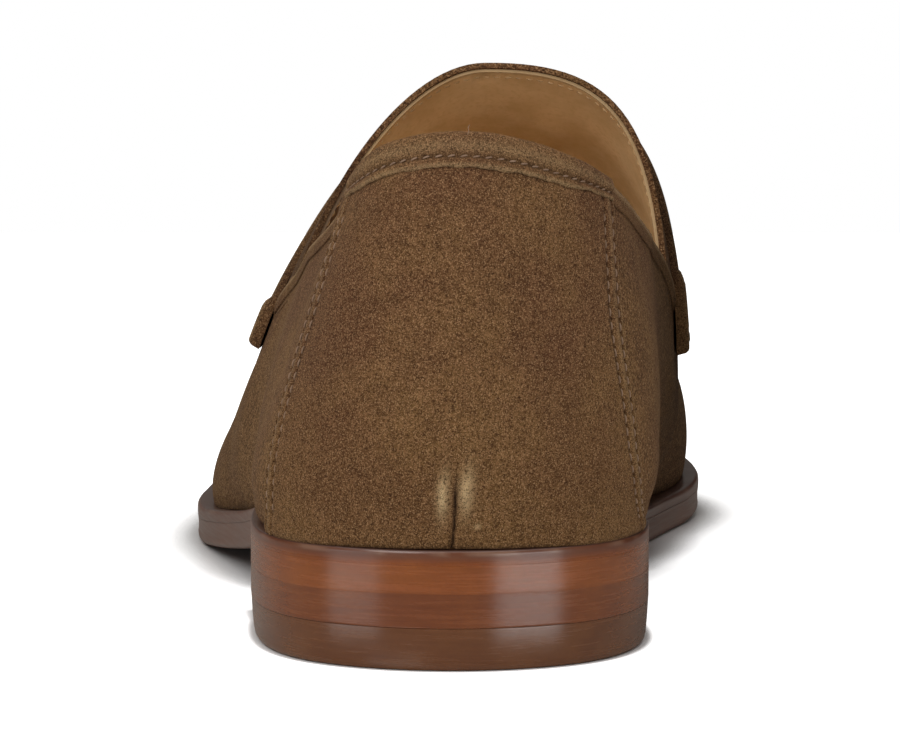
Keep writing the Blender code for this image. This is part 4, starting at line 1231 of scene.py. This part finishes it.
# share of open sky where the glow starts and where it is full
GLOW_RANGE = (0.60, 0.98, 0.0, 1.0)
looks = {"Roughness": FLOOR_ROUGHNESS, "Emission Color": (1.0, 1.0, 1.0, 1.0)}
sweep, tree, shader, place = start_material("white_sweep", looks)
ray = add(tree, "ShaderNodeLightPath").outputs
tones = {"Factor": ray["Is Glossy Ray"], MIX_UNDER: hue(FLOOR_TONE), MIX_OVER: hue(FLOOR_IN_MIRRORS)}
tone = add(tree, "ShaderNodeMix", {"data_type": "RGBA"}, tones).outputs[MIX_RESULT]
tree.links.new(tone, shader.inputs["Base Color"])
forwards = add(tree, "ShaderNodeSeparateXYZ", None, {0: place}).outputs["Y"]
inputs = dict(zip(RANGE_ENDS, CONTACT_REACH), Value=forwards)
reach = add(tree, "ShaderNodeMapRange", None, inputs).outputs[0]
clear = add(tree, "ShaderNodeAmbientOcclusion", {"samples": 12}, {"Distance": reach}).outputs["AO"]
inputs = dict(zip(RANGE_ENDS, GLOW_RANGE), Value=clear)
glow = add(tree, "ShaderNodeMapRange", {"interpolation_type": "SMOOTHSTEP"}, inputs).outputs[0]
glow = add(tree, "ShaderNodeMath", {"operation": "MULTIPLY"}, {0: glow, 1: ray["Is Camera Ray"]}).outputs[0]
tree.links.new(glow, shader.inputs["Emission Strength"])

mesh = bpy.data.meshes.new("floor")
corners = [(-1, -1, 0), (1, -1, 0), (1, 1, 0), (-1, 1, 0)]
mesh.from_pydata([(FLOOR_HALF * x, FLOOR_HALF * y, z) for x, y, z in corners], [], [(0, 1, 2, 3)])
mesh.materials.append(sweep)
floor = bpy.data.objects.new("floor", mesh)
bpy.context.scene.collection.objects.link(floor)
print("floor", 2 * FLOOR_HALF, "m wide")

# %% [markdown]
# ## Light
# The light is soft and comes from behind the camera: a wide box overhead, and one high up on the left that
# models the suede. Two long low boxes stand on the left and the right. They are what the waxed heel mirrors
# as its two upright bands. Dark cards, out of the camera's sight, keep them off the forefoot, so the medial
# side falls into shade. The world is white for the camera, and gives only a little warm light.

# %% Dark cards beside the shoe
# x, y of both ends, z of both edges, in metres
CARDS = {
    "medial_card": (0.080, -0.105, 0.20, 0.012, 0.13),
    "lateral_card": (-0.100, -0.080, 0.06, 0.024, 0.060),
}
black = start_material("black_card", {"Base Color": hue("#37312f"), "Roughness": 0.9})[0]
for name, (x, back, front, low, high) in CARDS.items():
    mesh = bpy.data.meshes.new(name)
    corners = [(x, back, low), (x, front, low), (x, front, high), (x, back, high)]
    mesh.from_pydata(corners, [], [(0, 1, 2, 3)])
    mesh.materials.append(black)
    card = bpy.data.objects.new(name, mesh)
    card.visible_camera = False
    bpy.context.scene.collection.objects.link(card)
print(len(CARDS), "dark cards")

# %% World
WORLD_LIGHT = 0.14
scene = bpy.context.scene
scene.view_settings.view_transform = "Standard"
world = bpy.data.worlds.new("white_studio")
scene.world = world
world.use_nodes = True
sky = world.node_tree
seen = add(sky, "ShaderNodeBackground", None, {"Color": (1, 1, 1, 1), "Strength": 1.0}).outputs[0]
lit = add(sky, "ShaderNodeBackground", None, {"Color": hue("#fff5ea"), "Strength": WORLD_LIGHT}).outputs[0]
camera_ray = add(sky, "ShaderNodeLightPath").outputs["Is Camera Ray"]
both = add(sky, "ShaderNodeMixShader", None, {0: camera_ray, 1: lit, 2: seen}).outputs[0]
sky.links.new(both, sky.nodes["World Output"].inputs["Surface"])
print("world light", WORLD_LIGHT)

# %% Soft boxes
HEEL_Y, LOW_BOX_Z = -0.147, 0.17


def soft_box(name, size, place, aim, radiance):
    """A white rectangular light at a place in metres, facing another."""
    lamp = bpy.data.lights.new(name, "AREA")
    lamp.shape, lamp.size, lamp.size_y = "RECTANGLE", size[0], size[1]
    lamp.energy = radiance * math.pi * size[0] * size[1]
    made = bpy.data.objects.new(name, lamp)
    made.location = place
    towards = np.array(aim, float) - np.array(place, float)
    tilt = math.acos(-towards[2] / np.linalg.norm(towards))
    made.rotation_euler = (tilt, 0.0, math.atan2(-towards[0], towards[1]))
    made.visible_camera = False
    bpy.context.scene.collection.objects.link(made)
    print(name, "faces", aim, "from", np.round(place, 2))


def round_heel(azimuth, distance, height):
    """A place round the heel: azimuth 0 is behind it, where the camera stands, and 90 is its medial side."""
    turn = math.radians(azimuth)
    return (distance * math.sin(turn), HEEL_Y - distance * math.cos(turn), height)


level_with_heel = (0.0, HEEL_Y, LOW_BOX_Z)
soft_box("overhead_box", (2.4, 2.4), (0.0, -0.2, 1.4), (0.0, -0.199, 0.0), 1.6)
soft_box("front_box", (1.0, 0.8), round_heel(-38, 1.5, 1.05), (0.0, HEEL_Y, 0.03), 4.9)
soft_box("left_box", (0.80, 0.20), round_heel(-62, 1.35, LOW_BOX_Z), level_with_heel, 3.0)
soft_box("right_box", (1.00, 0.22), round_heel(48, 1.35, LOW_BOX_Z), level_with_heel, 5.8)

# %% [markdown]
# ## Camera
# It stands low behind the heel with a long lens, as far away as in the photograph. Place, tilt and lens
# come from a few points of the shoe whose places in the photograph are plain.

# %% Camera
CAMERA_AT = np.array([4.2, -654.6, 101.5])
PITCH_DOWN, YAW_LEFT = 4.627, 0.347
SENSOR_MM, LENS_MM = 36.0, 165.9
lens = bpy.data.cameras.new("camera")
lens.sensor_width, lens.lens = SENSOR_MM, LENS_MM
lens.clip_start = 0.01
camera = bpy.data.objects.new("camera", lens)
camera.location = (CAMERA_AT + MOVE) * MM
camera.rotation_euler = (math.radians(90 - PITCH_DOWN), 0.0, math.radians(YAW_LEFT))
bpy.context.scene.collection.objects.link(camera)
scene.camera = camera
print("camera at", np.round(camera.location, 3))
